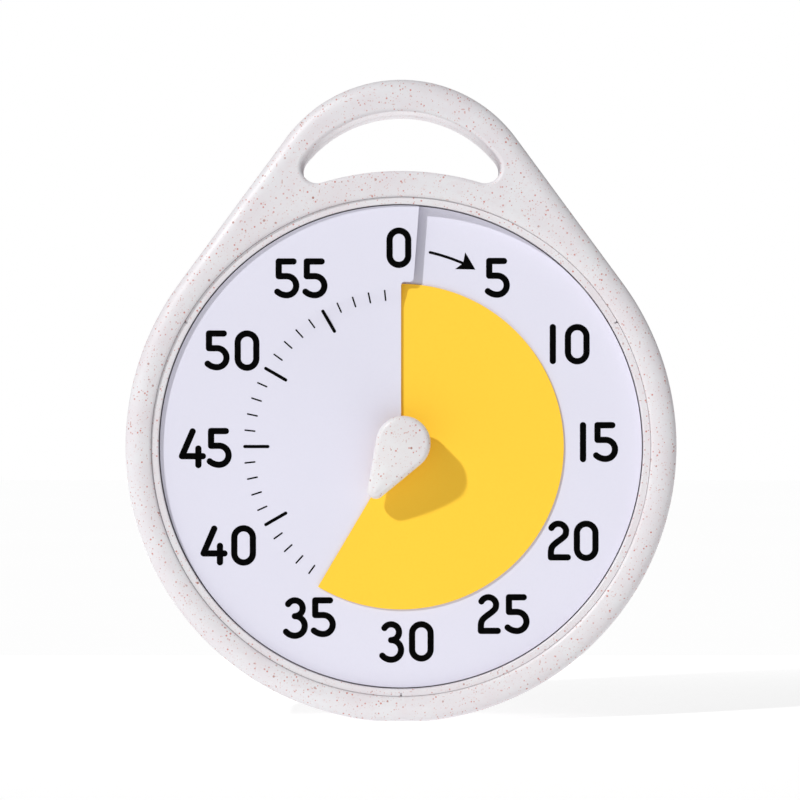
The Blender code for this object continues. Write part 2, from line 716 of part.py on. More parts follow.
def make_knob_group():
    rings = []
    for inset, drop in ((0.4, None), (0.0, 0.5)):
        base = KNOB_BASE - (drop or 0)
        rings.append([(a, base, u) for a, u in knob_outline(inset)])
    for inset, drop in ((0.0, 1.5), (0.2, 0.75), (0.75, 0.2), (1.5, 0.0)):
        rings.append([(a, knob_crown(a, u) + drop, u) for a, u in knob_outline(inset)])
    knob = loft("knob", rings, KNOB_SKIN)
    bore = double_flat(SPINDLE_RADIUS + GAP, SPINDLE_FLAT + GAP)
    cut(knob, prism("knob_bore", bore, -20.6, -12.0))

    profile = [
        (0, -20.2),
        (SPINDLE_RADIUS - 0.3, -20.2),
        (SPINDLE_RADIUS, -19.8),
        (SPINDLE_RADIUS, -1.5),
        (1.2, -1.5),
        (1.2, -0.4),
        (SPINDLE_RADIUS, -0.4),
        (SPINDLE_RADIUS, 0.0),
        (0.9, 0.0),
        (0.9, 7.6),
        (0, 7.9),
    ]
    spindle = turned("spindle", profile, 20, skin=SPINDLE_SKIN)
    for i, way in enumerate((0, 180)):
        angle = DISC_ANGLE + 90 + way
        cut(spindle, turned_about(angle, 6.0, SPINDLE_FLAT, 3.0, -21.0, -7.0, f"spindle_flat_{i}"))

    washer = [(2.3, -1.85), (4.2, -1.65), (4.2, -1.45), (2.3, -1.65)]
    spring = turned("clutch_spring", [(r, d - 0.15) for r, d in washer], 24, skin=STEEL_SKIN)
    clip = rod("spindle_clip", 3.2, -1.3, -0.75, steps=20, skin=CLIP_SKIN)
    cut(clip, rod("clip_bore", 1.5, -3.0, 1.0, steps=14))
    cut(clip, box("clip_mouth", (-1.2, 1.2), (-3.0, 1.0), (0.0, 5.0)))

    cam = rod("zero_cam", 3.2, 5.0, 6.2, steps=24, skin=CAM_SKIN)
    cut(cam, rod("cam_bore", 1.2, 4.0, 7.0, steps=12))
    cut(cam, turned_about(DISC_ANGLE + 150, 1.4, 2.3, 4.0, 4.0, 7.0, "cam_notch"))
    group = [knob, spindle, spring, clip, cam]
    hold(group, "knob_axis", (0, 0, 0))


def hold(pieces, name, centre):
    """Parent pieces to an empty on their joint's axis, keeping them where they are."""
    pivot = bpy.data.objects.new(name, None)
    bpy.context.scene.collection.objects.link(pivot)
    pivot.location = (centre[0] * MM, centre[1] * MM, (centre[2] + AXIS_HEIGHT) * MM)
    for piece in pieces:
        piece.parent = pivot
        piece.location = [piece.location[i] - pivot.location[i] for i in range(3)]


# Movement


def train():
    first = FIRST_MODULE * (WHEEL_TEETH + PINION_TEETH) / 2
    second = NEXT_MODULE * (WHEEL_TEETH + PINION_TEETH) / 2
    last = NEXT_MODULE * (MOTOR_TEETH + PINION_TEETH) / 2
    third_at = beyond((0, 0), THIRD_BEARING, first)
    second_at = beyond(third_at, SECOND_BEARING, second)
    rotor_at = beyond(second_at, ROTOR_BEARING, last)
    return third_at, second_at, rotor_at


def pinion_phase(bearing, wheel_phase, wheel_teeth):
    """Bearing of a pinion's first tooth that sets it in mesh with its wheel."""
    pitch = 360 / wheel_teeth
    lead = (bearing - wheel_phase) % pitch / pitch
    return bearing + 180 + (lead - 0.5) * 360 / PINION_TEETH


def make_train():
    third_at, second_at, rotor_at = train()
    outline = wheel_outline(WHEEL_TEETH, FIRST_MODULE, (0, 0), 0)
    centre = prism("centre_wheel", outline, -3.9, -2.7, WHEEL_SKIN)
    add(centre, rod("centre_hub", 3.6, -3.7, -2.3, steps=20))
    cut(centre, rod("centre_bore", 2.2, -6.0, 0.0, steps=20))

    phase = pinion_phase(THIRD_BEARING, 0, WHEEL_TEETH)
    outline = wheel_outline(WHEEL_TEETH, NEXT_MODULE, third_at, 0)
    third = prism("third_wheel", outline, 0.5, 1.5, THIRD_SKIN, (third_at[0], 0, third_at[1]))
    pinion = pinion_outline(FIRST_MODULE, third_at, phase)
    add(third, prism("third_pinion", pinion, -4.05, -2.4))
    add(third, rod("third_sleeve", 1.1, -2.6, 1.0, third_at, 12))
    add(third, rod("third_arbor", ARBOR_RADIUS, -5.3, 8.2, third_at, 10))

    phase = pinion_phase(SECOND_BEARING, 0, WHEEL_TEETH)
    outline = wheel_outline(MOTOR_TEETH, NEXT_MODULE, second_at, 0)
    second = prism("second_wheel", outline, 2.6, 3.4, SECOND_SKIN, (second_at[0], 0, second_at[1]))
    pinion = pinion_outline(NEXT_MODULE, second_at, phase)
    add(second, prism("second_pinion", pinion, 0.1, 1.9))
    add(second, rod("second_sleeve", 1.0, 1.7, 3.0, second_at, 12))
    add(second, rod("second_arbor", ARBOR_RADIUS, -5.3, 8.2, second_at, 10))

    phase = pinion_phase(ROTOR_BEARING, 0, MOTOR_TEETH)
    rotor = rod("rotor", 3.0, 4.3, 6.3, rotor_at, 24, ROTOR_SKIN, (rotor_at[0], 0, rotor_at[1]))
    pinion = pinion_outline(NEXT_MODULE, rotor_at, phase)
    add(rotor, prism("rotor_pinion", pinion, 2.2, 3.8))
    add(rotor, rod("rotor_sleeve", 1.0, 3.6, 4.5, rotor_at, 12))
    add(rotor, rod("rotor_arbor", ARBOR_RADIUS, -5.3, 8.2, rotor_at, 10))


def make_movement_box():
    places = train()
    across = (BOX_LEFT, BOX_RIGHT)
    up = (BOX_BOTTOM, BOX_TOP)
    base = box("movement_base", across, (BASE_FRONT, BASE_BACK), up, BOX_SKIN)
    cut(base, rod("base_spindle_hole", 2.2, -7.0, -3.0, steps=20))
    for i, place in enumerate(places):
        cut(base, rod(f"base_bearing_{i}", ARBOR_RADIUS + GAP, -7.0, -3.0, place, 10))
    for i, place in enumerate(BOX_SCREWS):
        cut(base, rod(f"base_screw_hole_{i}", 1.1, -7.0, -3.0, place, 12))
    for i, place in enumerate(STATOR_PEGS):
        add(base, rod(f"stator_post_{i}", 1.6, -4.8, STATOR_FRONT - GAP, place, 12))
        add(base, rod(f"stator_peg_{i}", 0.9, 4.0, 6.5, place, 12))
    add(base, box("contact_post", (12.6, 14.6), (-4.8, 6.6), (8.2, 9.4)))

    cover = box("movement_cover", across, (BASE_BACK + GAP, COVER_BACK), up, COVER_SKIN)
    wall = COVER_WALL
    inside = (BOX_LEFT + wall, BOX_RIGHT - wall)
    between = (BOX_BOTTOM + wall, BOX_TOP - wall)
    cut(cover, box("cover_hollow", inside, (-6.0, COVER_BACK - wall), between))
    for i, place in enumerate(BOX_SCREWS):
        add(cover, rod(f"cover_boss_{i}", 2.8, BASE_BACK + GAP, 8.0, place, 14))
        cut(cover, rod(f"cover_screw_seat_{i}", 2.0, 7.3, 12.0, place, 12))
        cut(cover, rod(f"cover_screw_hole_{i}", 1.1, -7.0, 12.0, place, 12))
    cut(cover, rod("cover_spindle_hole", 1.2, 5.0, 12.0, steps=12))
    for i, place in enumerate(places):
        cut(cover, rod(f"cover_bearing_{i}", ARBOR_RADIUS + GAP, 6.0, 12.0, place, 10))
    cut(cover, box("cover_lead_slot", (14.0, 18.0), (0.4, 3.4), (-17.6, -13.4)))

    for i, place in enumerate(BOX_SCREWS):
        profile = [(0, 8.5), (1.3, 8.5), (1.7, 8.1), (1.7, 7.6), (0.8, 7.6), (0.8, -4.8), (0, -5.2)]
        screw = turned(
            f"movement_screw_{i + 1}", profile, 10, place, SCREW_SKIN, (place[0], 7.6, place[1])
        )
        slot = (place[0] - 0.9, place[0] + 0.9)
        narrow = (place[1] - 0.2, place[1] + 0.2)
        cut(screw, box(f"box_screw_slot_{i}", slot, (8.0, 9.5), narrow))


def make_motor():
    rotor_at = train()[2]
    outline = [
        (-16.6, -23.0),
        (-5.6, -23.0),
        (-5.6, -12.0),
        (10.6, -12.0),
        (10.6, -23.0),
        (14.0, -23.0),
        (14.0, -9.0),
        (-16.6, -9.0),
    ]
    stator = prism("stator", outline, STATOR_FRONT, STATOR_BACK, STATOR_SKIN)
    cut(stator, rod("rotor_hole", 3.4, 3.0, 8.0, rotor_at, 24))
    for i, place in enumerate(STATOR_PEGS):
        cut(stator, rod(f"peg_hole_{i}", 1.2, 3.0, 8.0, place, 12))
    box(
        "coil_core",
        (-12.6, 13.6),
        (CORE_FRONT, CORE_BACK),
        (COIL_UP - 1.5, COIL_UP + 1.5),
        CORE_SKIN,
    )
    middle = (CORE_FRONT + CORE_BACK) / 2

    def layer(name, across, half_up, half_deep, skin=None):
        return box(
            name,
            across,
            (middle - half_deep, middle + half_deep),
            (COIL_UP - half_up, COIL_UP + half_up),
            skin,
        )

    bobbin = layer("coil_bobbin", (-4.8, 9.8), 2.5, 1.5, BOBBIN_SKIN)
    add(bobbin, layer("bobbin_left_flange", (-4.9, -4.0), 4.4, 2.9))
    add(bobbin, layer("bobbin_right_flange", (9.0, 9.9), 4.4, 2.9))
    cut(bobbin, layer("bobbin_bore", (-6.0, 11.0), 1.8, 0.8))
    winding = layer("coil_winding", (-3.7, 8.7), 4.0, 2.6, WINDING_SKIN)
    cut(winding, layer("winding_bore", (-6.0, 11.0), 2.8, 1.8))

    leaf = [(12.2, 9.0), (12.2, 8.6), (4.6, 4.2), (1.2, 3.55), (1.2, 3.95), (4.4, 4.6)]
    prism("zero_contact", leaf, 5.1, 6.1, CONTACT_SKIN)


# Electronics


def make_electronics():
    board = box("circuit_board", (24.0, 58.0), (3.0, BOARD_BACK), (-20.0, 16.0), BOARD_SKIN)
    for i, place in enumerate(((27.5, -16.0), (54.5, 12.0))):
        cut(board, rod(f"board_hole_{i}", 1.3, 0.0, 8.0, place, 12))
    top = BOARD_BACK + GAP
    chip = [(31.0, -6.0), (38.0, -6.0), (39.0, -5.0), (39.0, 2.0), (38.0, 3.0), (31.0, 3.0)]
    chip += [(30.0, 2.0), (30.0, -5.0)]
    prism("chip_cover", chip, top, top + 1.2, CHIP_SKIN)
    lay = arc((top + 1.0, 8.0), 1.0, 0, 360, 12)[:-1]
    can = [[(across, d, u) for d, u in lay] for across in (30.0, 36.0)]
    loft("crystal_can", can, CRYSTAL_SKIN)

    across = SWITCH_ACROSS
    up = SWITCH_UP
    switch = box("switch_body", (across - 3, across + 3), (top, 9.0), (up - 7, up + 7), SWITCH_SKIN)
    cut(switch, box("switch_groove", (across - 1.5, across + 1.5), (7.5, 12), (up - 4.2, up + 4.2)))
    rest = up - SWITCH_TRAVEL / 2
    slider = box(
        "volume_slider",
        (across - 2.6, across + 2.6),
        (14.2, 15.8),
        (rest - 3.2, rest + 3.2),
        SLIDER_SKIN,
        (across, 0, rest),
    )
    stem = (across - 1.2, across + 1.2)
    add(slider, box("slider_stem", stem, (7.8, 14.6), (rest - 1.5, rest + 1.5)))
    wide = (across - 4, across + 4)
    for i in range(3):
        groove = rest - 2.1 + i * 1.8
        cut(slider, box(f"slider_groove_{i}", wide, (15.4, 17), (groove, groove + 0.6)))

    middle = (BUZZER_ACROSS, BUZZER_UP)
    profile = [
        (1.8, 12.7),
        (9.6, 12.7),
        (10.0, 12.3),
        (10.0, 6.5),
        (9.2, 6.5),
        (9.2, 8.0),
        (8.4, 8.0),
        (8.4, 11.6),
        (1.8, 11.6),
    ]
    turned("buzzer_case", profile, 24, middle, BUZZER_SKIN)
    rod("buzzer_disc", 8.9, 7.2, 7.6, middle, 24, BRASS_SKIN)

    lay = BATTERY_DEPTH
    ring = [(0, -24.0), (BATTERY_RADIUS - 0.7, -24.0), (BATTERY_RADIUS, -23.4)]
    ring += [(BATTERY_RADIUS, 24.6), (BATTERY_RADIUS - 0.8, 25.2), (2.7, 25.2), (2.7, 26.5)]
    ring.append((0, 26.5))
    rings = []
    for i in range(24):
        turn = 2 * math.pi * i / 24
        rings.append(
            [(a, lay + r * math.cos(turn), BAY_UP + r * math.sin(turn)) for r, a in ring]
        )
    loft("battery", rings, BATTERY_SKIN, (0, lay, BAY_UP), closed=True)
    square = (BAY_UP - 5, BAY_UP + 5)
    plate = box("battery_plate", (26.8, 27.3), (0.5, 11.0), square, BATTERY_STEEL_SKIN)
    add(plate, box("plate_tab", (27.0, 34.0), (2.3, 2.8), (BAY_UP - 2, BAY_UP + 2)))
    coil = []
    turns = 3
    for i in range(turns * 10 + 1):
        share = i / (turns * 10)
        wide = 3.2 + 1.8 * share
        turn = 2 * math.pi * turns * share
        coil.append(
            (-24.8 - 3.1 * share, lay + wide * math.cos(turn), BAY_UP + wide * math.sin(turn))
        )
    coil += [(-27.9, 2.6, BAY_UP + 1.4), (-27.9, 0.7, BAY_UP + 0.3)]
    coil += [(-28.9, 0.2, BAY_UP), (-33.2, 0.2, BAY_UP)]
    tube("battery_spring", coil, 0.3, 5, SPRING_SKIN, 1)


def make_wires():
    board = BOARD_BACK + GAP
    tube(
        "red_wire",
        [
            (35.0, 2.5, 33.0),
            (38.5, 3.5, 31.0),
            (41.0, 6.5, 24.0),
            (39.0, 8.0, 16.0),
            (38.0, 7.4, 12.6),
            (38.0, board, 12.4),
        ],
        0.6,
        5,
        RED_SKIN,
    )
    tube(
        "black_wire",
        [
            (-33.9, 0.2, 33.0),
            (-36.5, 0.2, 30.0),
            (-33.0, 0.4, 22.5),
            (-24.0, 0.6, 20.2),
            (0.0, 0.8, 20.2),
            (18.0, 2.0, 20.2),
            (24.5, 6.5, 18.5),
            (28.0, 7.8, 14.4),
            (28.4, board, 12.4),
        ],
        0.6,
        5,
        BLACK_SKIN,
    )
    for i, shift in enumerate((0.0, 4.0)):
        across = 36.0 + shift
        tube(
            f"buzzer_wire_{i + 1}",
            [
                (across + 1, 6.9, -38.0),
                (across + 1, 5.4, -36.4),
                (across + 0.5, 5.0, -29.0),
                (across, 6.4, -22.0),
                (across, 7.0, -18.0),
                (across, board, -17.4),
            ],
            0.5,
            5,
            WHITE_SKIN,
        )
    for i, shift in enumerate((0.0, 1.8)):
        up = -16.4 + shift
        tube(
            f"coil_lead_{i + 1}",
            [
                (10.3, 2.4, up - 2.0),
                (13.0, 1.9, up - 0.4),
                (17.4, 1.9, up),
                (21.0, 3.4, up + 1.0),
                (23.6, 6.6, up + 1.8),
                (26.0, 6.8, up + 2.4 + shift),
                (26.6, board, up + 2.6 + shift),
            ],
            0.3,
            4,
            LEAD_SKIN,
        )


# Back: door and stand


def make_battery_door():
    low = BAY_UP - BAY_HALF
    high = BAY_UP + BAY_HALF
    door = box(
        "battery_door",
        (-30.7, 30.7),
        (13.2, 14.9),
        (low - 1.0, high + 1.0),
        DOOR_SKIN,
        (0, 13.2, BAY_UP),
    )
    add(door, box("door_left_tab", (-20.0, -14.0), (10.6, 13.8), (low + 0.4, low + 1.3)))
    add(door, box("door_right_tab", (14.0, 20.0), (10.6, 13.8), (low + 0.4, low + 1.3)))
    add(door, box("door_latch", (-4.0, 4.0), (10.6, 13.8), (high - 1.3, high - 0.4)))
    for i in range(3):
        up = BAY_UP + 2.6 + i * 1.6
        cut(door, box(f"door_grip_{i}", (-7.0, 7.0), (14.5, 16.0), (up, up + 0.7)))


def make_stand():
    hinge = (0, STAND_HINGE_DEPTH, STAND_HINGE_UP)
    half = STAND_HALF
    stand = box(
        "kickstand",
        (-half, half),
        (12.4, 14.7),
        (STAND_FOOT_UP, STAND_HINGE_UP),
        STAND_SKIN,
        hinge,
    )
    lay = arc((STAND_HINGE_DEPTH, STAND_HINGE_UP), STAND_BARREL, 0, 360, 20)[:-1]
    add(stand, loft("stand_barrel", [[(a, d, u) for d, u in lay] for a in (-half, half)]))
    lay = arc((STAND_HINGE_DEPTH, STAND_HINGE_UP), 1.2, 0, 360, 12)[:-1]
    cut(stand, loft("stand_bore", [[(a, d, u) for d, u in lay] for a in (-half - 2, half + 2)]))
    cut(stand, box("stand_window", (-11.0, 11.0), (11.0, 16.0), (-38.0, 2.0)))
    lay = arc((STAND_HINGE_DEPTH, STAND_HINGE_UP), 0.9, 0, 360, 12)[:-1]
    reach = half + 2.7
    pin = [[(a, d, u) for d, u in lay] for a in (-reach, reach)]
    loft("kickstand_pin", pin, PIN_SKIN, hinge)


clear_scene()
make_front_housing()
make_rear_housing()
make_case_screws()
make_dial_ring()
make_dial_carrier()
make_dial_plate()
make_time_disc()
make_knob_group()
make_train()
make_movement_box()
make_motor()
make_electronics()
make_wires()
make_battery_door()
make_stand()
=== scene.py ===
"""Looks of the dial timer: fine shells, printed dial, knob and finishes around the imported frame.

Shapes are in millimetres about the dial's axis, as (across, depth, up). Depth grows to the back.
"""

import json
import math

import bmesh
import bpy

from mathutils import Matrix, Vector


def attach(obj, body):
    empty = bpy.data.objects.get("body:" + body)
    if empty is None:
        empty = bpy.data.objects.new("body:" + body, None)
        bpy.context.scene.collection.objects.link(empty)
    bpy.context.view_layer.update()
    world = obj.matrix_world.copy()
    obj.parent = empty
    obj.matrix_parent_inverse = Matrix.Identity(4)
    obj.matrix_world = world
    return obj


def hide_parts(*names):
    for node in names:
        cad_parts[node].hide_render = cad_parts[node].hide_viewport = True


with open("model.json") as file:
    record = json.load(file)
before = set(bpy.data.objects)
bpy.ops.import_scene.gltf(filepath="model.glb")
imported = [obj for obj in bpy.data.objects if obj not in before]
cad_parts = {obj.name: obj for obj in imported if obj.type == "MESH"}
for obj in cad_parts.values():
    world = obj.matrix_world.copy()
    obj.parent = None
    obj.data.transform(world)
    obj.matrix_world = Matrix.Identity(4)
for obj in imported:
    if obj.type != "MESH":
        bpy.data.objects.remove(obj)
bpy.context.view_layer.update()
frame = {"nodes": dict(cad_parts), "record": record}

MM = 0.001
GAP = 0.3
AXIS = 81.4

CASE_RADIUS = 81.7
FRONT = -15.0
BACK = 15.0
SEAM = 1.5
WALL = 2.0
FRONT_ROUND = 4.7
FRONT_DROP = 3.0
BACK_ROUND = 3.0
CHAMFER = 0.25
HANDLE_RADIUS = 42.3
HANDLE_RISE = 66.45
HOLE_FLOOR = 81.6
HOLE_RADIUS = 36.7
HOLE_RISE = 62.5
HOLE_CORNER = 4.7
HOLE_ROUND = 1.2
TUBE_RADIUS = 75.8
SCREWS = ((40, 72.6), (145, 72.6), (215, 72.6), (320, 72.6), (0, 103.95))
CLIP_ANGLES = (60, 180, 300)

DIAL_RADIUS = 71.5
DIAL_HOLE = 6.8
DIAL_START = -10.1
DIAL_SHEET = 0.5
TAB_RADIUS = 48.9
TAB_ANGLE = 4.3
TAB_CORNER = 1.2
RISE = 2.6
DISC_RADIUS = 48.3
DISC_SHEET = 0.3
DISC_ANGLE = 210
DISC_LAP = 0.65
SAG = 1.2
SAG_END = 48.4

KNOB_BASE = -16.9
KNOB_TOP = -24.0
KNOB_TIP_TOP = -20.0
KNOB_HEAD = 8.05
KNOB_OFFSET = 1.25
KNOB_TIP = 2.5
KNOB_LENGTH = 16.1

BAY_UP = 33.0
STAND_UP = 14.0
STAND_DEPTH = 13.0
STAND_FOOT = -50.0
SWITCH = (46.0, -10.0)
BUZZER = (40.0, -42.0)

INK_LIFT = 0.05
DIGIT_UNIT = 0.2967
DIGIT_PEN = 6.25
DIGIT_HALF = 20.1
MARK_OUTER = 46.8
ARROW_START = 8.5
ARROW_TURN = 10.2
ARROW_RADIUS = 58.3
ARROW_DIP = 0.85
ARROW_HALF = 0.4

CAMERA_PLACE = (-0.0003, -1.015, 0.0952)
CAMERA_LENS = 152.2
SUN_WAY = (0.98, 1.0, -0.99)
SUN_STRENGTH = 2.1
SUN_WIDTH = 2.4
ROOM_LIGHT = 0.24
PANEL_PLACE = (0.0, 0.26, 0.03)
PANEL_WAY = (0.0, -0.26, 0.15)
PANEL_POWER = 0.35
FLOOR_GLOW = 0.76


# Meshes


def solid(name, points, faces):
    mesh = bpy.data.meshes.new(name)
    mesh.from_pydata([(a * MM, d * MM, (u + AXIS) * MM) for a, d, u in points], [], faces)
    body = bmesh.new()
    body.from_mesh(mesh)
    bmesh.ops.remove_doubles(body, verts=body.verts, dist=1e-7)
    loose = [edge for edge in body.edges if not edge.link_faces]
    bmesh.ops.delete(body, geom=loose, context="EDGES")
    bmesh.ops.recalc_face_normals(body, faces=body.faces)
    body.to_mesh(mesh)
    body.free()
    made = bpy.data.objects.new(name, mesh)
    bpy.context.scene.collection.objects.link(made)
    return made


def loft(name, rings, closed=False):
    count = len(rings[0])
    faces = []
    last = len(rings) if closed else len(rings) - 1
    for i in range(last):
        near = i * count
        far = (i + 1) % len(rings) * count
        for j in range(count):
            k = (j + 1) % count
            faces.append((near + j, near + k, far + k, far + j))
    if not closed:
        faces.append(tuple(range(count)))
        faces.append(tuple(range(last * count, last * count + count)))
    return solid(name, [point for ring in rings for point in ring], faces)


def clock(angle, radius):
    return (radius * math.sin(math.radians(angle)), radius * math.cos(math.radians(angle)))


def arc(middle, radius, start, end, steps):
    points = []
    for i in range(steps + 1):
        a, u = clock(start + (end - start) * i / steps, radius)
        points.append((middle[0] + a, middle[1] + u))
    return points


def rectangle(across, up, corner, grow=0.0, steps=6):
    low_a, high_a, low_u, high_u = across[0], across[1], up[0], up[1]
    radius = max(corner + grow, 0.01)
    inner = corner
    points = arc((high_a - inner, high_u - inner), radius, 0, 90, steps)
    points += arc((high_a - inner, low_u + inner), radius, 90, 180, steps)
    points += arc((low_a + inner, low_u + inner), radius, 180, 270, steps)
    points += arc((low_a + inner, high_u - inner), radius, 270, 360, steps)
    return points


def layers(outline, steps):
    return [[(a, depth, u) for a, u in outline(offset)] for offset, depth in steps]


def slab(name, across, up, corner, steps):
    """Block with rounded corners, one ring for each (growth, depth)."""
    return loft(name, layers(lambda grow: rectangle(across, up, corner, grow), steps))


def turned(name, profile, steps=240, at=(0.0, 0.0)):
    rings = []
    for i in range(steps):
        turn = 2 * math.pi * i / steps
        rings.append([(at[0] + r * math.sin(turn), d, at[1] + r * math.cos(turn)) for r, d in profile])
    return loft(name, rings, closed=True)


def rod(name, radius, front, back, at, steps=32):
    ring = arc(at, radius, 0, 360, steps)[:-1]
    return loft(name, [[(a, depth, u) for a, u in ring] for depth in (front, back)])


def bar(name, points, half):
    """Outline of (depth, up) points, drawn from side to side."""
    return loft(name, [[(a, d, u) for d, u in points] for a in (-half, half)])


def carve(target, steps):
    """Cut or join pieces in order, and drop them."""
    for operation, tool in steps:
        change = target.modifiers.new(tool.name, "BOOLEAN")
        change.operation = operation
        change.solver = "MANIFOLD"
        change.object = tool
    bpy.context.view_layer.update()
    ready = target.evaluated_get(bpy.context.evaluated_depsgraph_get())
    mesh = bpy.data.meshes.new_from_object(ready)
    target.modifiers.clear()
    target.data = mesh
    for tool in {tool.name: tool for _, tool in steps}.values():
        bpy.data.objects.remove(tool, do_unlink=True)
    return target


def dress(piece, body, skin, nodes=(), sharp=32):
    """Shade, finish and place a piece on its body."""
    mesh = piece.data
    mesh.materials.clear()
    mesh.materials.append(skin)
    mesh.shade_smooth()
    mesh.set_sharp_from_angle(angle=math.radians(sharp))
    weigh = piece.modifiers.new("weigh", "WEIGHTED_NORMAL")
    weigh.keep_sharp = True
    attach(piece, body)
    if nodes:
        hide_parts(*nodes)
    return piece


# Finishes


def node(tree, kind, inputs=(), **settings):
    made = tree.nodes.new(kind)
    for key, value in settings.items():
        setattr(made, key, value)
    for key, value in dict(inputs).items():
        socket = made.inputs[key]
        if isinstance(value, bpy.types.NodeSocket):
            tree.links.new(value, socket)
        else:
            socket.default_value = value
    return made


def start(name):
    made = bpy.data.materials.new(name)
    made.use_nodes = True
    tree = made.node_tree
    place = tree.nodes.new("ShaderNodeTexCoord").outputs["Object"]
    return made, tree, tree.nodes["Principled BSDF"], place


def noise(tree, place, size_mm, detail=2.0, stretch=None, distortion=0.0):
    if stretch:
        place = node(tree, "ShaderNodeMapping", {"Vector": place, "Scale": stretch}).outputs[0]
    inputs = {"Vector": place, "Scale": 1000.0 / size_mm, "Detail": detail, "Distortion": distortion}
    return node(tree, "ShaderNodeTexNoise", inputs).outputs["Fac"]


def spread(tree, value, low, high, start_at=0.0, end_at=1.0):
    """Bring a value from low..high to start_at..end_at, and hold it there."""
    inputs = {"Value": value, "From Min": low, "From Max": high, "To Min": start_at, "To Max": end_at}
    return node(tree, "ShaderNodeMapRange", inputs, clamp=True).outputs[0]


def sums(tree, operation, a, b=0.0, clamp=False):
    return node(tree, "ShaderNodeMath", {0: a, 1: b}, operation=operation, use_clamp=clamp).outputs[0]


def mix(tree, share, a, b):
    colours = []
    for c in (a, b):
        colours.append(c if isinstance(c, bpy.types.NodeSocket) else (*c, 1.0))
    inputs = {0: share, 6: colours[0], 7: colours[1]}
    return node(tree, "ShaderNodeMix", inputs, data_type="RGBA").outputs[2]


def bump(tree, shader, height, distance_mm, strength=1.0):
    inputs = {"Height": height, "Distance": distance_mm * MM, "Strength": strength}
    made = node(tree, "ShaderNodeBump", inputs)
    tree.links.new(made.outputs[0], shader.inputs["Normal"])


def specks(tree, place, cell, radius, share, turn=(0, 0, 0), stretch=(1, 1, 1)):
    """Mask of grains: cell and radius in mm, share of cells that hold a grain."""
    inputs = {"Vector": place, "Rotation": turn, "Scale": stretch}
    moved = node(tree, "ShaderNodeMapping", inputs).outputs[0]
    inputs = {"Vector": moved, "Scale": 1000.0 / cell, "Randomness": 1.0}
    grains = node(tree, "ShaderNodeTexVoronoi", inputs)
    pick = node(tree, "ShaderNodeSeparateColor", {0: grains.outputs["Color"]}).outputs
    size = sums(
        tree,
        "ADD",
        spread(tree, pick[0], 1.0 - share, 1.02 - share, 0.0, 0.5 * radius / cell),
        spread(tree, pick[0], 1.0 - share, 1.0, 0.0, 0.5 * radius / cell),
    )
    inside = sums(tree, "SUBTRACT", size, grains.outputs["Distance"])
    mask = sums(tree, "MULTIPLY", inside, cell / 0.09, clamp=True)
    depth = spread(tree, pick[1], 0.0, 1.0, 0.5, 1.0)
    return sums(tree, "MULTIPLY", mask, depth)


def speckled(name, base, roughness=0.42):
    """Moulded plastic with plant fibre: pale ground, coral and brown grains, short fibres."""
    made, tree, shader, place = start(name)
    cloud = noise(tree, place, 9.0, 3.0)
    warm = tuple(base[i] * k for i, k in enumerate((0.975, 0.935, 0.945)))
    colour = mix(tree, spread(tree, cloud, 0.35, 0.68), base, warm)
    fine = noise(tree, place, 1.6, 3.0)
    dusty = tuple(base[i] * k for i, k in enumerate((0.97, 0.915, 0.915)))
    colour = mix(tree, spread(tree, fine, 0.52, 0.75, 0.0, 0.8), colour, dusty)
    dust = specks(tree, place, 0.7, 0.21, 0.8)
    colour = mix(tree, sums(tree, "MULTIPLY", dust, 0.75), colour, (0.60, 0.32, 0.28))
    coral = specks(tree, place, 1.15, 0.34, 0.8, (0.3, 0.7, 0.1))
    colour = mix(tree, sums(tree, "MULTIPLY", coral, 0.95), colour, (0.56, 0.16, 0.12))
    brown = specks(tree, place, 2.6, 0.44, 0.5, (1.1, 0.2, 0.6))
    colour = mix(tree, sums(tree, "MULTIPLY", brown, 0.9), colour, (0.38, 0.13, 0.09))
    fibre = specks(tree, place, 1.5, 0.24, 0.35, (0.0, 0.9, 0.4), (1.0, 1.0, 0.28))
    colour = mix(tree, sums(tree, "MULTIPLY", fibre, 0.8), colour, (0.48, 0.17, 0.12))
    strand = specks(tree, place, 1.6, 0.24, 0.35, (0.5, -0.8, 0.2), (0.28, 1.0, 1.0))
    colour = mix(tree, sums(tree, "MULTIPLY", strand, 0.8), colour, (0.52, 0.20, 0.15))
    tree.links.new(colour, shader.inputs["Base Color"])
    rub = noise(tree, place, 22.0, 4.0, (1.0, 1.0, 2.5), 0.6)
    rough = spread(tree, rub, 0.3, 0.75, roughness - 0.05, roughness + 0.08)
    rough = sums(tree, "ADD", rough, sums(tree, "MULTIPLY", coral, 0.12))
    tree.links.new(rough, shader.inputs["Roughness"])
    skin = sums(tree, "ADD", noise(tree, place, 0.55, 2.0), sums(tree, "MULTIPLY", coral, 0.5))
    bump(tree, shader, skin, 0.02, 0.5)
    return made


def moulded(name, base, roughness=0.5, grain=0.5, depth=0.02, tint=0.92):
    """Plain moulded plastic: slight clouding, fine spark-eroded grain and rubbed patches."""
    made, tree, shader, place = start(name)
    darker = tuple(c * tint for c in base)
    colour = mix(tree, spread(tree, noise(tree, place, 6.0, 4.0), 0.35, 0.7), base, darker)
    tree.links.new(colour, shader.inputs["Base Color"])
    rub = noise(tree, place, 11.0, 4.0, (1.0, 1.0, 2.0))
    tree.links.new(
        spread(tree, rub, 0.3, 0.75, max(roughness - 0.08, 0.05), roughness + 0.1),
        shader.inputs["Roughness"],
    )
    bump(tree, shader, noise(tree, place, grain, 3.0), depth, 0.6)
    return made


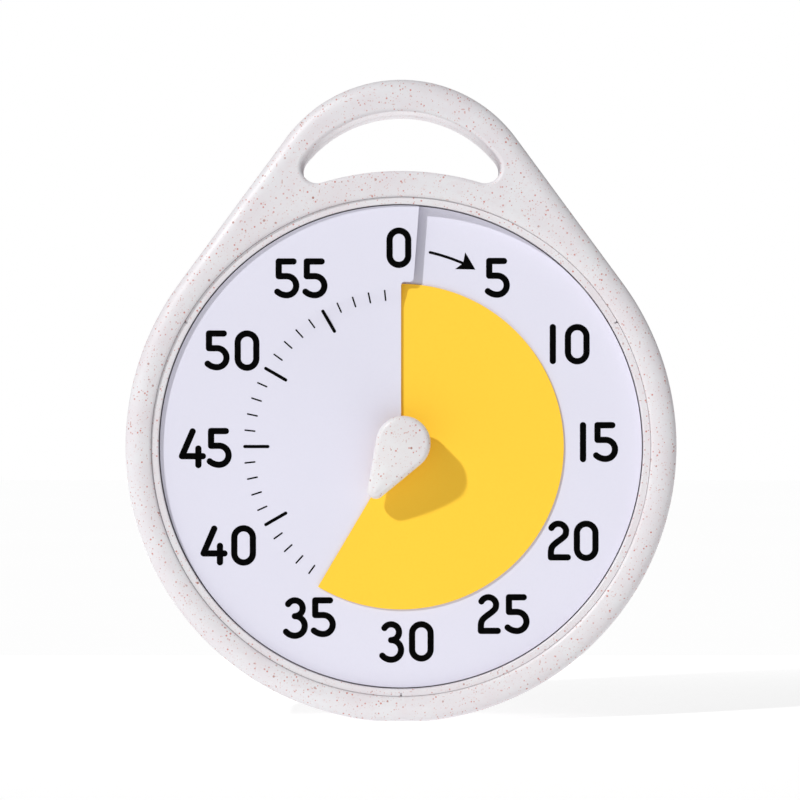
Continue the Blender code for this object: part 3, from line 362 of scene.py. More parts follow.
def metal(name, base, roughness=0.3, lines=(1.0, 12.0, 1.0)):
    """Drawn or stamped metal: long fine lines, dull patches and a few darker stains."""
    made, tree, shader, place = start(name)
    shader.inputs["Metallic"].default_value = 1.0
    fine = noise(tree, place, 0.5, 3.0, lines)
    stain = noise(tree, place, 3.5, 4.0)
    worn = tuple(c * 0.72 for c in base)
    colour = mix(tree, spread(tree, stain, 0.5, 0.8, 0.0, 0.7), base, worn)
    tree.links.new(colour, shader.inputs["Base Color"])
    rough = sums(tree, "ADD", spread(tree, fine, 0.3, 0.7, roughness - 0.08, roughness + 0.08),
                 spread(tree, stain, 0.45, 0.8, 0.0, 0.18))
    tree.links.new(rough, shader.inputs["Roughness"])
    bump(tree, shader, fine, 0.01, 0.5)
    return made


def coated_sheet(name, base, roughness, fleck, gloss=0.2, painted_glow=(0.0, 0.0, 0.0)):
    """Matt plastic sheet: faint paper-like grain, slow unevenness and an optional painted glow: emission that
    lightens the sheet, its shaded parts too, though it is no lamp.
    """
    made, tree, shader, place = start(name)
    slow = spread(tree, noise(tree, place, 35.0, 2.0), 0.3, 0.7)
    colour = mix(tree, slow, base, tuple(c * 0.985 for c in base))
    grain = spread(tree, noise(tree, place, 0.7, 3.0), 0.45, 0.75, 0.0, 0.6)
    colour = mix(tree, grain, colour, fleck)
    tree.links.new(colour, shader.inputs["Base Color"])
    tree.links.new(
        spread(tree, noise(tree, place, 4.0, 4.0), 0.3, 0.7, roughness - 0.05, roughness + 0.06),
        shader.inputs["Roughness"],
    )
    shader.inputs["Specular IOR Level"].default_value = gloss
    # Emission here is painted light: a glow that lifts the sheet's shaded parts.
    shader.inputs["Emission Color"].default_value = (*painted_glow, 1.0)
    shader.inputs["Emission Strength"].default_value = 1.0
    bump(tree, shader, noise(tree, place, 0.35, 3.0), 0.008, 0.5)
    return made


def printed_ink(name):
    made, tree, shader, place = start(name)
    patch = spread(tree, noise(tree, place, 1.2, 3.0), 0.45, 0.75)
    colour = mix(tree, patch, (0.001, 0.001, 0.001), (0.003, 0.003, 0.003))
    tree.links.new(colour, shader.inputs["Base Color"])
    tree.links.new(
        spread(tree, noise(tree, place, 0.4, 2.0), 0.3, 0.7, 0.5, 0.65), shader.inputs["Roughness"]
    )
    shader.inputs["Specular IOR Level"].default_value = 0.02
    bump(tree, shader, noise(tree, place, 0.25, 2.0), 0.006, 0.5)
    return made


def laminate(name):
    """Green board: solder mask with copper tracks under it and a weave."""
    made, tree, shader, place = start(name)
    inputs = {"Vector": place, "Scale": 260.0, "Distortion": 0.0}
    lines = node(tree, "ShaderNodeTexWave", inputs, wave_type="BANDS", bands_direction="X")
    split = noise(tree, place, 7.0, 0.0)
    edges = spread(tree, lines.outputs["Fac"], 0.55, 0.62)
    tracks = sums(tree, "MULTIPLY", edges, spread(tree, split, 0.5, 0.52))
    colour = mix(tree, tracks, (0.012, 0.13, 0.055), (0.03, 0.22, 0.09))
    weave = noise(tree, place, 0.5, 1.0, (1.0, 1.0, 4.0))
    colour = mix(tree, spread(tree, weave, 0.5, 0.8, 0.0, 0.35), colour, (0.02, 0.10, 0.045))
    tree.links.new(colour, shader.inputs["Base Color"])
    tree.links.new(spread(tree, weave, 0.3, 0.7, 0.25, 0.4), shader.inputs["Roughness"])
    bump(tree, shader, sums(tree, "ADD", tracks, sums(tree, "MULTIPLY", weave, 0.2)), 0.03, 0.6)
    return made


def cell_wrap(name):
    """Battery sleeve: dark body, a copper-coloured band at the far end and a fine seam."""
    made, tree, shader, place = start(name)
    along = node(tree, "ShaderNodeSeparateXYZ", {0: place}).outputs[0]
    band = spread(tree, along, 0.0125, 0.0127)
    print_grain = spread(tree, noise(tree, place, 0.6, 3.0), 0.4, 0.8, 0.0, 0.4)
    body = mix(tree, print_grain, (0.02, 0.05, 0.13), (0.035, 0.08, 0.17))
    cap = mix(tree, print_grain, (0.62, 0.30, 0.10), (0.50, 0.24, 0.09))
    tree.links.new(mix(tree, band, body, cap), shader.inputs["Base Color"])
    tree.links.new(
        spread(tree, noise(tree, place, 5.0, 4.0), 0.3, 0.7, 0.22, 0.4), shader.inputs["Roughness"]
    )
    shader.inputs["Coat Weight"].default_value = 0.4
    bump(tree, shader, noise(tree, place, 2.0, 2.0), 0.02, 0.4)
    return made


def wound(name, base):
    """Coil of fine wire: closely laid turns, darkened between them as painted shade in the grooves."""
    made, tree, shader, place = start(name)
    shader.inputs["Metallic"].default_value = 1.0
    inputs = {"Vector": place, "Scale": 1600.0, "Distortion": 0.6, "Detail": 1.0}
    turns = node(tree, "ShaderNodeTexWave", inputs, wave_type="BANDS", bands_direction="X").outputs["Fac"]
    # Darker stripes where the turns dip are painted shade in the grooves between wires.
    colour = mix(tree, spread(tree, turns, 0.0, 0.5, 1.0, 0.0), base, tuple(c * 0.45 for c in base))
    tree.links.new(colour, shader.inputs["Base Color"])
    tree.links.new(spread(tree, turns, 0.0, 1.0, 0.5, 0.28), shader.inputs["Roughness"])
    bump(tree, shader, turns, 0.08, 1.0)
    return made


CASE_BASE = (0.79, 0.78, 0.805)
BACK_BASE = (0.785, 0.775, 0.80)
SKINS = {
    "speckled_case": speckled("speckled_case_look", CASE_BASE),
    "speckled_back": speckled("speckled_back_look", BACK_BASE, 0.46),
    "speckled_ring": speckled("speckled_ring_look", CASE_BASE),
    "speckled_knob": speckled("speckled_knob_look", (0.79, 0.785, 0.795), 0.4),
    "speckled_door": speckled("speckled_door_look", BACK_BASE, 0.46),
    "speckled_stand": speckled("speckled_stand_look", BACK_BASE, 0.46),
    "dial_sheet": coated_sheet("dial_sheet_look", (0.79, 0.78, 0.895), 0.6, (0.77, 0.76, 0.875)),
    # The yellow sheet's red emission is painted light, lifting the red of its shaded parts.
    "yellow_sheet": coated_sheet(
        "yellow_sheet_look", (0.985, 0.665, 0.06), 0.6, (0.965, 0.64, 0.055), 0.03, (0.10, 0.012, 0.0)
    ),
    "carrier_plastic": moulded("carrier_plastic_look", (0.70, 0.69, 0.72), 0.55),
    "spindle_nylon": moulded("spindle_nylon_look", (0.80, 0.79, 0.74), 0.4),
    "spring_steel": metal("spring_steel_look", (0.60, 0.60, 0.61), 0.28),
    "clip_steel": metal("clip_steel_look", (0.50, 0.50, 0.52), 0.3),
    "cam_acetal": moulded("cam_acetal_look", (0.72, 0.33, 0.11), 0.4),
    "wheel_acetal": moulded("wheel_acetal_look", (0.82, 0.82, 0.78), 0.35, 0.3),
    "third_wheel_acetal": moulded("third_wheel_acetal_look", (0.82, 0.77, 0.64), 0.35, 0.3),
    "second_wheel_acetal": moulded("second_wheel_acetal_look", (0.50, 0.66, 0.80), 0.35, 0.3),
    "rotor_magnet": moulded("rotor_magnet_look", (0.09, 0.09, 0.10), 0.45, 0.3, 0.03),
    "movement_plastic": moulded("movement_plastic_look", (0.045, 0.045, 0.05), 0.5, 0.4, 0.04),
    "movement_cover_plastic": moulded("movement_cover_plastic_look", (0.04, 0.04, 0.045), 0.5, 0.4, 0.04),
    "stator_iron": metal("stator_iron_look", (0.50, 0.50, 0.51), 0.38),
    "core_iron": metal("core_iron_look", (0.46, 0.46, 0.48), 0.4),
    "bobbin_plastic": moulded("bobbin_plastic_look", (0.07, 0.22, 0.10), 0.45),
    "winding_copper": wound("winding_copper_look", (0.78, 0.36, 0.16)),
    "contact_bronze": metal("contact_bronze_look", (0.72, 0.47, 0.20), 0.3),
    "board_laminate": laminate("board_laminate_look"),
    "chip_epoxy": moulded("chip_epoxy_look", (0.014, 0.014, 0.016), 0.35, 0.8, 0.03),
    "crystal_can_tin": metal("crystal_can_tin_look", (0.68, 0.68, 0.69), 0.22),
    "switch_body_plastic": moulded("switch_body_plastic_look", (0.03, 0.03, 0.034), 0.5),
    "slider_plastic": moulded("slider_plastic_look", (0.20, 0.20, 0.215), 0.5, 0.35, 0.04, 0.85),
    "buzzer_case_plastic": moulded("buzzer_case_plastic_look", (0.022, 0.022, 0.025), 0.45),
    "buzzer_brass": metal("buzzer_brass_look", (0.78, 0.56, 0.22), 0.28),
    "battery_wrap": cell_wrap("battery_wrap_look"),
    "contact_spring_nickel": metal("contact_spring_nickel_look", (0.64, 0.62, 0.58), 0.28),
    "contact_nickel": metal("contact_nickel_look", (0.64, 0.62, 0.58), 0.3),
    "pin_steel": metal("pin_steel_look", (0.58, 0.58, 0.60), 0.25, (12.0, 1.0, 1.0)),
    "red_insulation": moulded("red_insulation_look", (0.52, 0.02, 0.014), 0.4),
    "black_insulation": moulded("black_insulation_look", (0.014, 0.014, 0.015), 0.4),
    "white_insulation": moulded("white_insulation_look", (0.72, 0.71, 0.68), 0.4),
    "enamelled_copper": metal("enamelled_copper_look", (0.60, 0.22, 0.08), 0.3),
    "screw_steel": metal("screw_steel_look", (0.56, 0.56, 0.58), 0.28),
}
INK = printed_ink("dial_ink_look")

for part in frame["record"]["subparts"]:
    shown = frame["nodes"][part["node"]]
    for place in shown.material_slots:
        place.material = SKINS[part["material_slot"]]
    if not shown.material_slots:
        shown.data.materials.append(SKINS[part["material_slot"]])


# Case


def case_outline(inset):
    tangent = math.degrees(math.acos((CASE_RADIUS - HANDLE_RADIUS) / HANDLE_RISE))
    radius = CASE_RADIUS - inset
    foot = math.degrees(math.acos((AXIS - inset) / radius))
    top = arc((0, HANDLE_RISE), HANDLE_RADIUS - inset, -tangent, tangent, 84)
    right = arc((0, 0), radius, tangent, 90, 44) + arc((0, 0), radius, 90, 180 - foot, 100)[1:]
    left = [(-across, up) for across, up in reversed(right)]
    return top + right + left


def hole_outline(grow):
    low = HOLE_FLOOR + HOLE_CORNER
    high = HOLE_RADIUS - HOLE_CORNER
    up = (low**2 - high**2 + HOLE_RISE**2) / (2 * HOLE_RISE)
    across = math.sqrt(low**2 - up**2)
    lean = math.degrees(math.atan2(across, up))
    turn = math.degrees(math.atan2(across, up - HOLE_RISE))
    corner = HOLE_CORNER + grow
    upper = arc((0, HOLE_RISE), HOLE_RADIUS + grow, -turn, turn, 72)
    right = arc((across, up), corner, turn, 180 + lean, 20)
    lower = arc((0, 0), HOLE_FLOOR - grow, lean, -lean, 56)
    left = arc((-across, up), corner, 180 - lean, 360 - turn, 20)
    return upper + right[1:] + lower[1:] + left[1:-1]


def rounded(first, depth, across, along, steps=12, last=90):
    made = []
    for i in range(steps + 1):
        turn = math.radians(last * i / steps)
        made.append((first + across * (1 - math.cos(turn)), depth + along * math.sin(turn)))
    return made


def case_body(name, steps):
    return loft(name, layers(case_outline, steps))


def hole_body(name, steps):
    return loft(name, layers(hole_outline, steps))


def radial_block(name, angle, width, inner, outer, front, back):
    a, u = clock(angle, 1.0)
    outline = []
    for radius, way in ((inner, -1), (inner, 1), (outer, 1), (outer, -1)):
        outline.append((a * radius + way * u * width / 2, u * radius - way * a * width / 2))
    return loft(name, [[(x, depth, z) for x, z in outline] for depth in (front, back)])


def front_shell():
    end = SEAM - GAP / 2
    edge = rounded(0, FRONT + FRONT_DROP, FRONT_ROUND, -FRONT_DROP, 14)
    body = case_body("front_shell", [(CHAMFER, end), (0, end - CHAMFER)] + edge)
    hollow = [(WALL, end + 2)] + rounded(WALL, FRONT + FRONT_DROP, FRONT_ROUND - WALL, WALL - FRONT_DROP, 5)
    steps = [("DIFFERENCE", case_body("hollow", hollow))]
    steps.append(("UNION", hole_body("wall", [(1.8, -13.6), (1.8, end)])))
    well = [(68.0, -13.8), (TUBE_RADIUS, -13.8), (TUBE_RADIUS, -4.1), (68.0, -4.1)]
    steps.append(("UNION", turned("well", well)))
    for i, (angle, radius) in enumerate(SCREWS):
        place = clock(angle, radius)
        root = -4.9 if angle else -13.7
        steps.append(("UNION", rod(f"boss_{i}", 3.0, root, end - 0.2 * (i + 1), place)))
    flare = rounded(0, FRONT + HOLE_ROUND, HOLE_ROUND, -HOLE_ROUND, 8, 84)
    mouth = [(CHAMFER + 0.65, end + 0.65), (0, end - CHAMFER)] + flare + [(HOLE_ROUND + 0.7, -15.4)]
    steps.append(("DIFFERENCE", hole_body("hole", mouth)))
    opening = [(0, -16.0), (77.4, -16.0), (77.1, -15.0), (76.4, -14.96), (75.7, -14.87), (75.1, -14.75)]
    opening += [(74.65, -14.62), (74.35, -14.48), (74.15, -14.28), (74.05, -14.05), (74.0, -13.75)]
    opening += [(74.0, -5.6), (69.5, -5.6), (69.5, -3.1), (0, -3.1)]
    steps.append(("DIFFERENCE", turned("opening", opening, 360)))
    for i, angle in enumerate(CLIP_ANGLES):
        steps.append(("DIFFERENCE", radial_block(f"clip_{i}", angle, 8.6, 71.6, 73.5, -7.0, -3.0)))
    for i, (angle, radius) in enumerate(SCREWS):
        steps.append(("DIFFERENCE", rod(f"pilot_{i}", 1.15, -3.4, end + 3, clock(angle, radius))))
    return carve(body, steps)


def rear_shell():
    begin = SEAM + GAP / 2
    edge = rounded(0, BACK - BACK_ROUND, BACK_ROUND, BACK_ROUND, 12)
    body = case_body("rear_shell", [(CHAMFER, begin), (0, begin + CHAMFER)] + edge)
    steps = [("DIFFERENCE", case_body("hollow", [(WALL, begin - 2), (WALL, 11.6), (WALL + 1.4, 13.0)]))]
    steps.append(("UNION", hole_body("wall", [(1.8, begin), (1.8, 13.6)])))
    for i, (angle, radius) in enumerate(SCREWS):
        steps.append(("UNION", rod(f"post_{i}", 3.0, begin + 0.2 * (i + 1), 13.7, clock(angle, radius))))
    flare = rounded(0, BACK - 2.5, 2.5, 2.5, 8, 82)
    mouth = [(CHAMFER + 0.65, begin - 0.65), (0, begin + CHAMFER)] + flare + [(2.9, 15.4)]
    steps.append(("DIFFERENCE", hole_body("hole", mouth)))
    shaft = [(0, 0), (1.15, 0), (1.15, 8.0), (2.2, 8.0), (2.2, 14.7), (3.2, 15.7), (0, 15.7)]
    for i, (angle, radius) in enumerate(SCREWS):
        steps.append(("DIFFERENCE", turned(f"bore_{i}", shaft, 40, clock(angle, radius))))
    low = BAY_UP - 7.5
    high = BAY_UP + 7.5
    steps.append(("UNION", slab("bay", (-31.8, 31.8), (low - 2.1, high + 2.1), 1.5, [(0, -3.5), (0, 13.6)])))
    pocket = slab("pocket", (-28.5, 27.6), (low, high), 0.8, [(0, -2.0), (0, 12.7), (1.2, 13.9)])
    steps.append(("DIFFERENCE", pocket))
    seat = slab("seat", (-31.0, 31.0), (low - 1.3, high + 1.3), 1.6, [(0, 12.9), (0, 14.7), (1.0, 15.7)])
    steps.append(("DIFFERENCE", seat))
    notch = slab("notch", (-6.0, 6.0), (high + 0.2, high + 4.0), 1.9, [(-0.8, 13.9), (0, 14.3), (1.4, 15.7)])
    steps.append(("DIFFERENCE", notch))
    for name, across, depth, half in (
        ("tab_slot", (27.0, 33.0), (1.9, 3.3), 2.4),
        ("wire_slot", (-33.0, -28.0), (-0.6, 1.0), 1.0),
    ):
        rings = [(0, depth[0]), (0, depth[1])]
        steps.append(("DIFFERENCE", slab(name, across, (BAY_UP - half, BAY_UP + half), 0.2, rings)))
    wide = 20.5
    floor = slab("floor", (-wide - 2, wide + 2), (STAND_FOOT - 3, 11.0), 2.0, [(0, 10.5), (0, 13.5)])
    steps.append(("UNION", floor))
    hinge = slab("hinge", (-wide - 4, wide + 4), (10.0, 18.0), 1.0, [(0, 9.2), (0, 13.6)])
    steps.append(("UNION", hinge))
    rings = [(0, 12.1), (0, 14.7), (1.0, 15.7)]
    recess = slab("recess", (-wide, wide), (STAND_FOOT - 0.5, STAND_UP + 0.5), 1.0, rings)
    steps.append(("DIFFERENCE", recess))
    lay = arc((STAND_DEPTH, STAND_UP), 2.3, 0, 360, 40)[:-1]
    steps.append(("DIFFERENCE", bar("trough", lay, wide)))
    rings = [(0, STAND_DEPTH), (0, 14.7), (1.0, 15.7)]
    mouth = slab("mouth", (-wide, wide), (STAND_UP - 1.0, STAND_UP + 1.9), 0.4, rings)
    steps.append(("DIFFERENCE", mouth))
    rings = [(-1.0, 13.0), (0, 13.6), (2.1, 15.7)]
    thumb = slab("thumb", (-7.0, 7.0), (STAND_FOOT - 4.5, STAND_FOOT), 2.2, rings)
    steps.append(("DIFFERENCE", thumb))
    lay = arc((STAND_DEPTH, STAND_UP), 1.2, 0, 360, 24)[:-1]
    steps.append(("DIFFERENCE", bar("pin_bore", lay, wide + 2.6)))
    a, u = SWITCH
    slot = slab("slot", (a - 1.6, a + 1.6), (u - 4.1, u + 4.1), 0.5, [(0, 12.0), (0, 16.0)])
    steps.append(("DIFFERENCE", slot))
    rings = [(-0.3, 13.9), (0, 14.2), (0, 14.75), (0.9, 15.65)]
    steps.append(("DIFFERENCE", slab("well", (a - 3.2, a + 3.2), (u - 5.8, u + 5.8), 1.2, rings)))
    collar = [(10.3, 9.0), (11.6, 9.0), (11.6, 13.6), (10.3, 13.6)]
    steps.append(("UNION", turned("collar", collar, 60, BUZZER)))
    vent = [(0, 12.0), (0.8, 12.0), (0.8, 14.75), (1.7, 15.65), (0, 15.65)]
    spots = [BUZZER] + arc(BUZZER, 4.0, 0, 300, 5)
    for i, spot in enumerate(spots):
        steps.append(("DIFFERENCE", turned(f"vent_{i}", vent, 28, spot)))
    return carve(body, steps)


dress(front_shell(), "case", SKINS["speckled_case"], ["front_housing"])
dress(rear_shell(), "case", SKINS["speckled_back"], ["rear_housing"])


def inner_ring():
    profile = [(73.7, -7.7), (73.7, -13.2), (73.92, -13.3), (73.92, -13.62), (73.86, -13.7), (73.4, -13.7)]
    profile += [(72.2, -13.7), (72.02, -13.66), (71.9, -13.56), (71.85, -13.4), (71.85, -7.7)]
    ring = turned("inner_ring", profile, 360)
    steps = []
    for i, angle in enumerate(CLIP_ANGLES):
        steps.append(("UNION", radial_block(f"leg_{i}", angle, 8.0, 72.1, 73.2, -8.6, -2.5)))
        steps.append(("UNION", radial_block(f"hook_{i}", angle, 7.6, 72.6, 74.3, -3.8, -2.7)))
        steps.append(("DIFFERENCE", radial_block(f"mark_{i}", angle, 0.5, 73.0, 74.5, -14.5, -13.1)))
    return carve(ring, steps)


dress(inner_ring(), "case", SKINS["speckled_ring"], ["dial_ring"])


# Dial


def dial_depth(angle):
    return DIAL_START - RISE * angle / 360


def ease(value):
    held = min(max(value, 0.0), 1.0)
    return held * held * (3 - 2 * held)


def sheet_depth(angle, radius):
    """Face of the printed sheet, which sags towards the disc along the slit's inner run."""
    return dial_depth(angle) + SAG * ease((angle - 290) / 70) * ease((SAG_END - radius) / 7)


def skinned(name, columns, thickness):
    """Sheet on columns of points, each point (angle, radius, depth)."""
    points = []
    start_of = []
    for column in columns:
        start_of.append(len(points))
        for angle, radius, depth in column:
            a, u = clock(angle, radius)
            points += [(a, depth, u), (a, depth + thickness, u)]
    faces = []
    count = [len(column) for column in columns]
    for i in range(len(columns) - 1):
        shared = min(count[i], count[i + 1])
        near = start_of[i] + 2 * (count[i] - shared)
        far = start_of[i + 1] + 2 * (count[i + 1] - shared)
        for j in range(shared - 1):
            a, b = near + 2 * j, near + 2 * j + 2
            c, d = far + 2 * j + 2, far + 2 * j
            faces.append((a, b, c, d))
            faces.append((a + 1, d + 1, c + 1, b + 1))
        rim_a, rim_b = near + 2 * (shared - 1), far + 2 * (shared - 1)
        faces.append((rim_a, rim_a + 1, rim_b + 1, rim_b))
        faces.append((near, far, far + 1, near + 1))
    for i in (0, len(columns) - 1):
        for j in range(count[i] - 1):
            a = start_of[i] + 2 * j
            faces.append((a, a + 1, a + 3, a + 2))
    for i in range(len(columns) - 1):
        extra = count[i] - count[i + 1]
        for j in range(extra):
            a = start_of[i] + 2 * j
            faces.append((a, a + 1, a + 3, a + 2))
    return solid(name, points, faces)


def tab_floor(angle):
    """Lowest radius of the tab that laps past twelve, with its rounded corners."""
    along = math.radians(angle - 360) * TAB_RADIUS
    length = math.radians(TAB_ANGLE) * TAB_RADIUS
    if along < TAB_CORNER:
        away = TAB_CORNER - along
        return TAB_RADIUS - TAB_CORNER + math.sqrt(max(TAB_CORNER**2 - away**2, 0))
    if along > length - TAB_CORNER:
        away = along - (length - TAB_CORNER)
        return TAB_RADIUS + TAB_CORNER - math.sqrt(max(TAB_CORNER**2 - away**2, 0))
    return TAB_RADIUS


def dial_sheet():
    columns = []
    for i in range(361):
        low = TAB_RADIUS - TAB_CORNER
        radii = (DIAL_HOLE, 24.0, 40.0, 41.5, 43.0, 44.5, 46.0, low, 59.6, DIAL_RADIUS)
        columns.append([(i, radius, sheet_depth(i, radius)) for radius in radii])
    shares = [i / 24 for i in range(1, 25)]
    for share in shares:
        angle = 360 + TAB_ANGLE * share
        low = tab_floor(angle)
        depth = dial_depth(angle)
        columns.append([(angle, radius, depth) for radius in (low, 0.5 * (low + DIAL_RADIUS), DIAL_RADIUS)])
    return skinned("printed_sheet", columns, DIAL_SHEET)


def time_disc():
    columns = []
    for i in range(361):
        angle = DISC_ANGLE - 360 + i * (1 + DISC_LAP / 360)
        depth = dial_depth(angle) - GAP - DISC_SHEET
        columns.append([(angle, radius, depth) for radius in (5.4, 20.0, 34.0, DISC_RADIUS)])
    disc = skinned("coloured_sheet", columns, DISC_SHEET)
    hub = rod("hub", 6.0, -12.4, -9.3, (0, 0), 48)
    half = math.degrees(math.asin(1.8 / 2.2))
    outline = arc((0, 0), 2.2, DISC_ANGLE - half, DISC_ANGLE + half, 10)
    outline += arc((0, 0), 2.2, DISC_ANGLE + 180 - half, DISC_ANGLE + 180 + half, 10)
    bore = loft("bore", [[(a, depth, u) for a, u in outline] for depth in (-16.0, -6.0)])
    return carve(disc, [("UNION", hub), ("DIFFERENCE", bore)])


dress(dial_sheet(), "case", SKINS["dial_sheet"], ["dial_plate"])
dress(time_disc(), "coloured_disc", SKINS["yellow_sheet"], ["time_disc"])


# Print: strokes on the dial, lifted a hair off the sheet


def stroke(name, path, width, closed=False, caps=8):
    """Flat ribbon with round ends along (across, up) points, 1 mm thick for joining."""
    count = len(path)
    rings = []

    def ring(point, normal, half):
        x, z = point
        nx, nz = normal
        left = (x + nx * half, z + nz * half)
        right = (x - nx * half, z - nz * half)
        return [(left[0], -0.5, left[1]), (right[0], -0.5, right[1]),
                (right[0], 0.5, right[1]), (left[0], 0.5, left[1])]

    normals = []
    for i in range(count):
        before = path[(i - 1) % count] if closed or i else path[i]
        after = path[(i + 1) % count] if closed or i < count - 1 else path[i]
        dx, dz = after[0] - before[0], after[1] - before[1]
        length = math.hypot(dx, dz)
        normals.append((-dz / length, dx / length))
    half = width / 2
    if not closed:
        nx, nz = normals[0]
        for k in range(caps):
            turn = math.pi / 2 * (1 - k / caps) * 0.985
            back = half * math.sin(turn)
            middle = (path[0][0] - nz * back, path[0][1] + nx * back)
            rings.append(ring(middle, (nx, nz), half * math.cos(turn)))
    for point, normal in zip(path, normals):
        rings.append(ring(point, normal, half))
    if not closed:
        nx, nz = normals[-1]
        for k in range(1, caps + 1):
            turn = math.pi / 2 * k / caps * 0.985
            ahead = half * math.sin(turn)
            middle = (path[-1][0] + nz * ahead, path[-1][1] - nx * ahead)
            rings.append(ring(middle, (nx, nz), half * math.cos(turn)))
    return loft(name, rings, closed)


def spline(points, per_leg=8):
    ends = [points[0]] + list(points) + [points[-1]]
    made = []
    for i in range(1, len(ends) - 2):
        p0, p1, p2, p3 = ends[i - 1 : i + 3]
        for step in range(per_leg):
            t = step / per_leg
            made.append(tuple(
                0.5 * (2 * p1[k] + (p2[k] - p0[k]) * t + (2 * p0[k] - 5 * p1[k] + 4 * p2[k] - p3[k]) * t * t
                       + (3 * p1[k] - p0[k] - 3 * p2[k] + p3[k]) * t**3)
                for k in (0, 1)
            ))
    made.append(tuple(points[-1]))
    return made


def line(a, b):
    return [a, ((a[0] + b[0]) / 2, (a[1] + b[1]) / 2), b]


def glyph_strokes(digit):
    """Centre lines of a digit that is 40 units high, from its top left corner, up positive."""
    if digit == "0":
        ring = arc((12.4, -12.4), 9.3, -90, 90, 20) + arc((12.4, -28.0), 9.3, 90, 270, 20)
        return [(ring, True)], 24.8
    if digit == "1":
        return [(line((3.1, -3.1), (3.1, -37.0)), False)], 6.2
    if digit == "2":
        top = arc((10.6, -10.95), 7.85, -62, 82, 18)
        bends = [(17.6, -14.2), (14.4, -17.6), (8.3, -22.2), (4.8, -25.6), (3.3, -29.6), (3.1, -36.7)]
        tail = spline([top[-1]] + bends)
        return [(top[:-1] + tail, False), (line((3.1, -36.7), (20.0, -36.7)), False)], 23.0
    if digit == "3":
        upper = arc((11.9, -11.0), 7.9, -58, 180, 26)
        lower = arc((12.0, -28.7), 9.8, 0, 180, 26)
        foot = arc((12.0, -26.6), 11.9, 180, 228.5, 10)
        return [(upper, False), (lower + foot[1:], False)], 25.0
    if digit == "4":
        return [
            (line((13.9, -3.4), (3.2, -28.2)), False),
            (line((3.2, -28.2), (24.1, -28.2)), False),
            (line((19.6, -20.6), (19.6, -37.1)), False),
        ], 27.0
    bowl = [(4.3, -17.8), (8.0, -17.8)] + arc((12.3, -27.3), 9.5, 0, 180, 26)
    foot = arc((12.3, -22.5), 14.3, 180, 220.8, 10)
    return [
        (line((4.3, -3.1), (19.1, -3.1)), False),
        (line((4.3, -3.1), (4.3, -17.8)), False),
        (bowl + foot[1:], False),
    ], 25.0


def digit_outline(digit):
    """Points and faces of one digit as a flat solid, in units."""
    strokes, width = glyph_strokes(digit)
    pieces = []
    for i, (path, closed) in enumerate(strokes):
        pieces.append(stroke(f"stroke_{digit}_{i}", path, DIGIT_PEN, closed))
    first = pieces[0]
    if len(pieces) > 1:
        carve(first, [("UNION", other) for other in pieces[1:]])
    made = [((v.co.x / MM), (v.co.z / MM - AXIS), v.co.y / MM) for v in first.data.vertices]
    faces = [tuple(p.vertices) for p in first.data.polygons]
    bpy.data.objects.remove(first, do_unlink=True)
    return made, faces, width


def lay_print(name, pieces):
    """Put flat shapes on the helical dial. Each has (across, up, side) points, side being front or back."""
    points = []
    faces = []
    for shape, shape_faces in pieces:
        offset = len(points)
        for a, u, side in shape:
            angle = math.degrees(math.atan2(a, u)) % 360
            if angle < TAB_ANGLE and shape_over_tab(shape):
                angle += 360
            depth = sheet_depth(angle, math.hypot(a, u)) + (0.02 if side > 0 else -INK_LIFT)
            points.append((a, depth, u))
        faces += [tuple(i + offset for i in face) for face in shape_faces]
    return solid(name, points, faces)


def shape_over_tab(shape):
    return min(a for a, _, _ in shape) < 0


LABELS = (
    ("0", -0.64, 58.95), ("5", 28.63, 50.05), ("10", 50.08, 30.40), ("15", 58.80, 1.28),
    ("20", 51.10, -27.98), ("25", 30.47, -49.79), ("30", 1.62, -57.80), ("35", -27.18, -50.68),
    ("40", -51.27, -29.30), ("45", -58.05, -0.45), ("50", -50.10, 28.47), ("55", -29.66, 49.82),
)
PITCH = {
    "10": 8.9, "15": 7.1, "20": 3.0, "25": 3.9, "30": 4.7,
    "35": 3.0, "40": 3.8, "45": 1.0, "50": 4.9, "55": 3.1,
}


def numerals():
    digits = {digit: digit_outline(digit) for digit in "012345"}
    shapes = []
    for text, across, up in LABELS:
        gap = PITCH.get(text, 0.0)
        total = sum(digits[c][2] for c in text) + gap * (len(text) - 1)
        pen = -total / 2
        for c in text:
            shape, faces, width = digits[c]
            laid = []
            for x, z, side in shape:
                laid.append((across + (pen + x) * DIGIT_UNIT, up + (DIGIT_HALF + z) * DIGIT_UNIT, side))
            shapes.append((laid, faces))
            pen += width + gap
    return lay_print("dial_numerals", shapes)


dress(numerals(), "case", INK, sharp=30)


def flat_shape(outline):
    """Closed outline as a thin solid: points and faces."""
    count = len(outline)
    points = [(a, u, -1) for a, u in outline] + [(a, u, 1) for a, u in outline]
    faces = [tuple(range(count)), tuple(range(2 * count - 1, count - 1, -1))]
    for i in range(count):
        j = (i + 1) % count
        faces.append((i, j, count + j, count + i))
    return points, faces


def tick(angle, inner, outer, width):
    a, u = clock(angle, 1.0)
    half = width / 2
    outline = []
    for radius, first in ((outer - half, 0), (inner + half, 180)):
        for k in range(9):
            turn = math.radians(angle - 90 + first + 180 * k / 8)
            outline.append((a * radius + half * math.sin(turn), u * radius + half * math.cos(turn)))
    return flat_shape(outline)


def minute_marks():
    ticks = []
    for minute in range(1, 60):
        if minute % 5:
            ticks.append(tick(minute * 6, 43.4, MARK_OUTER - 0.1, 0.45))
        else:
            ticks.append(tick(minute * 6, 39.0, MARK_OUTER, 0.95))
    return lay_print("dial_minute_marks", ticks)


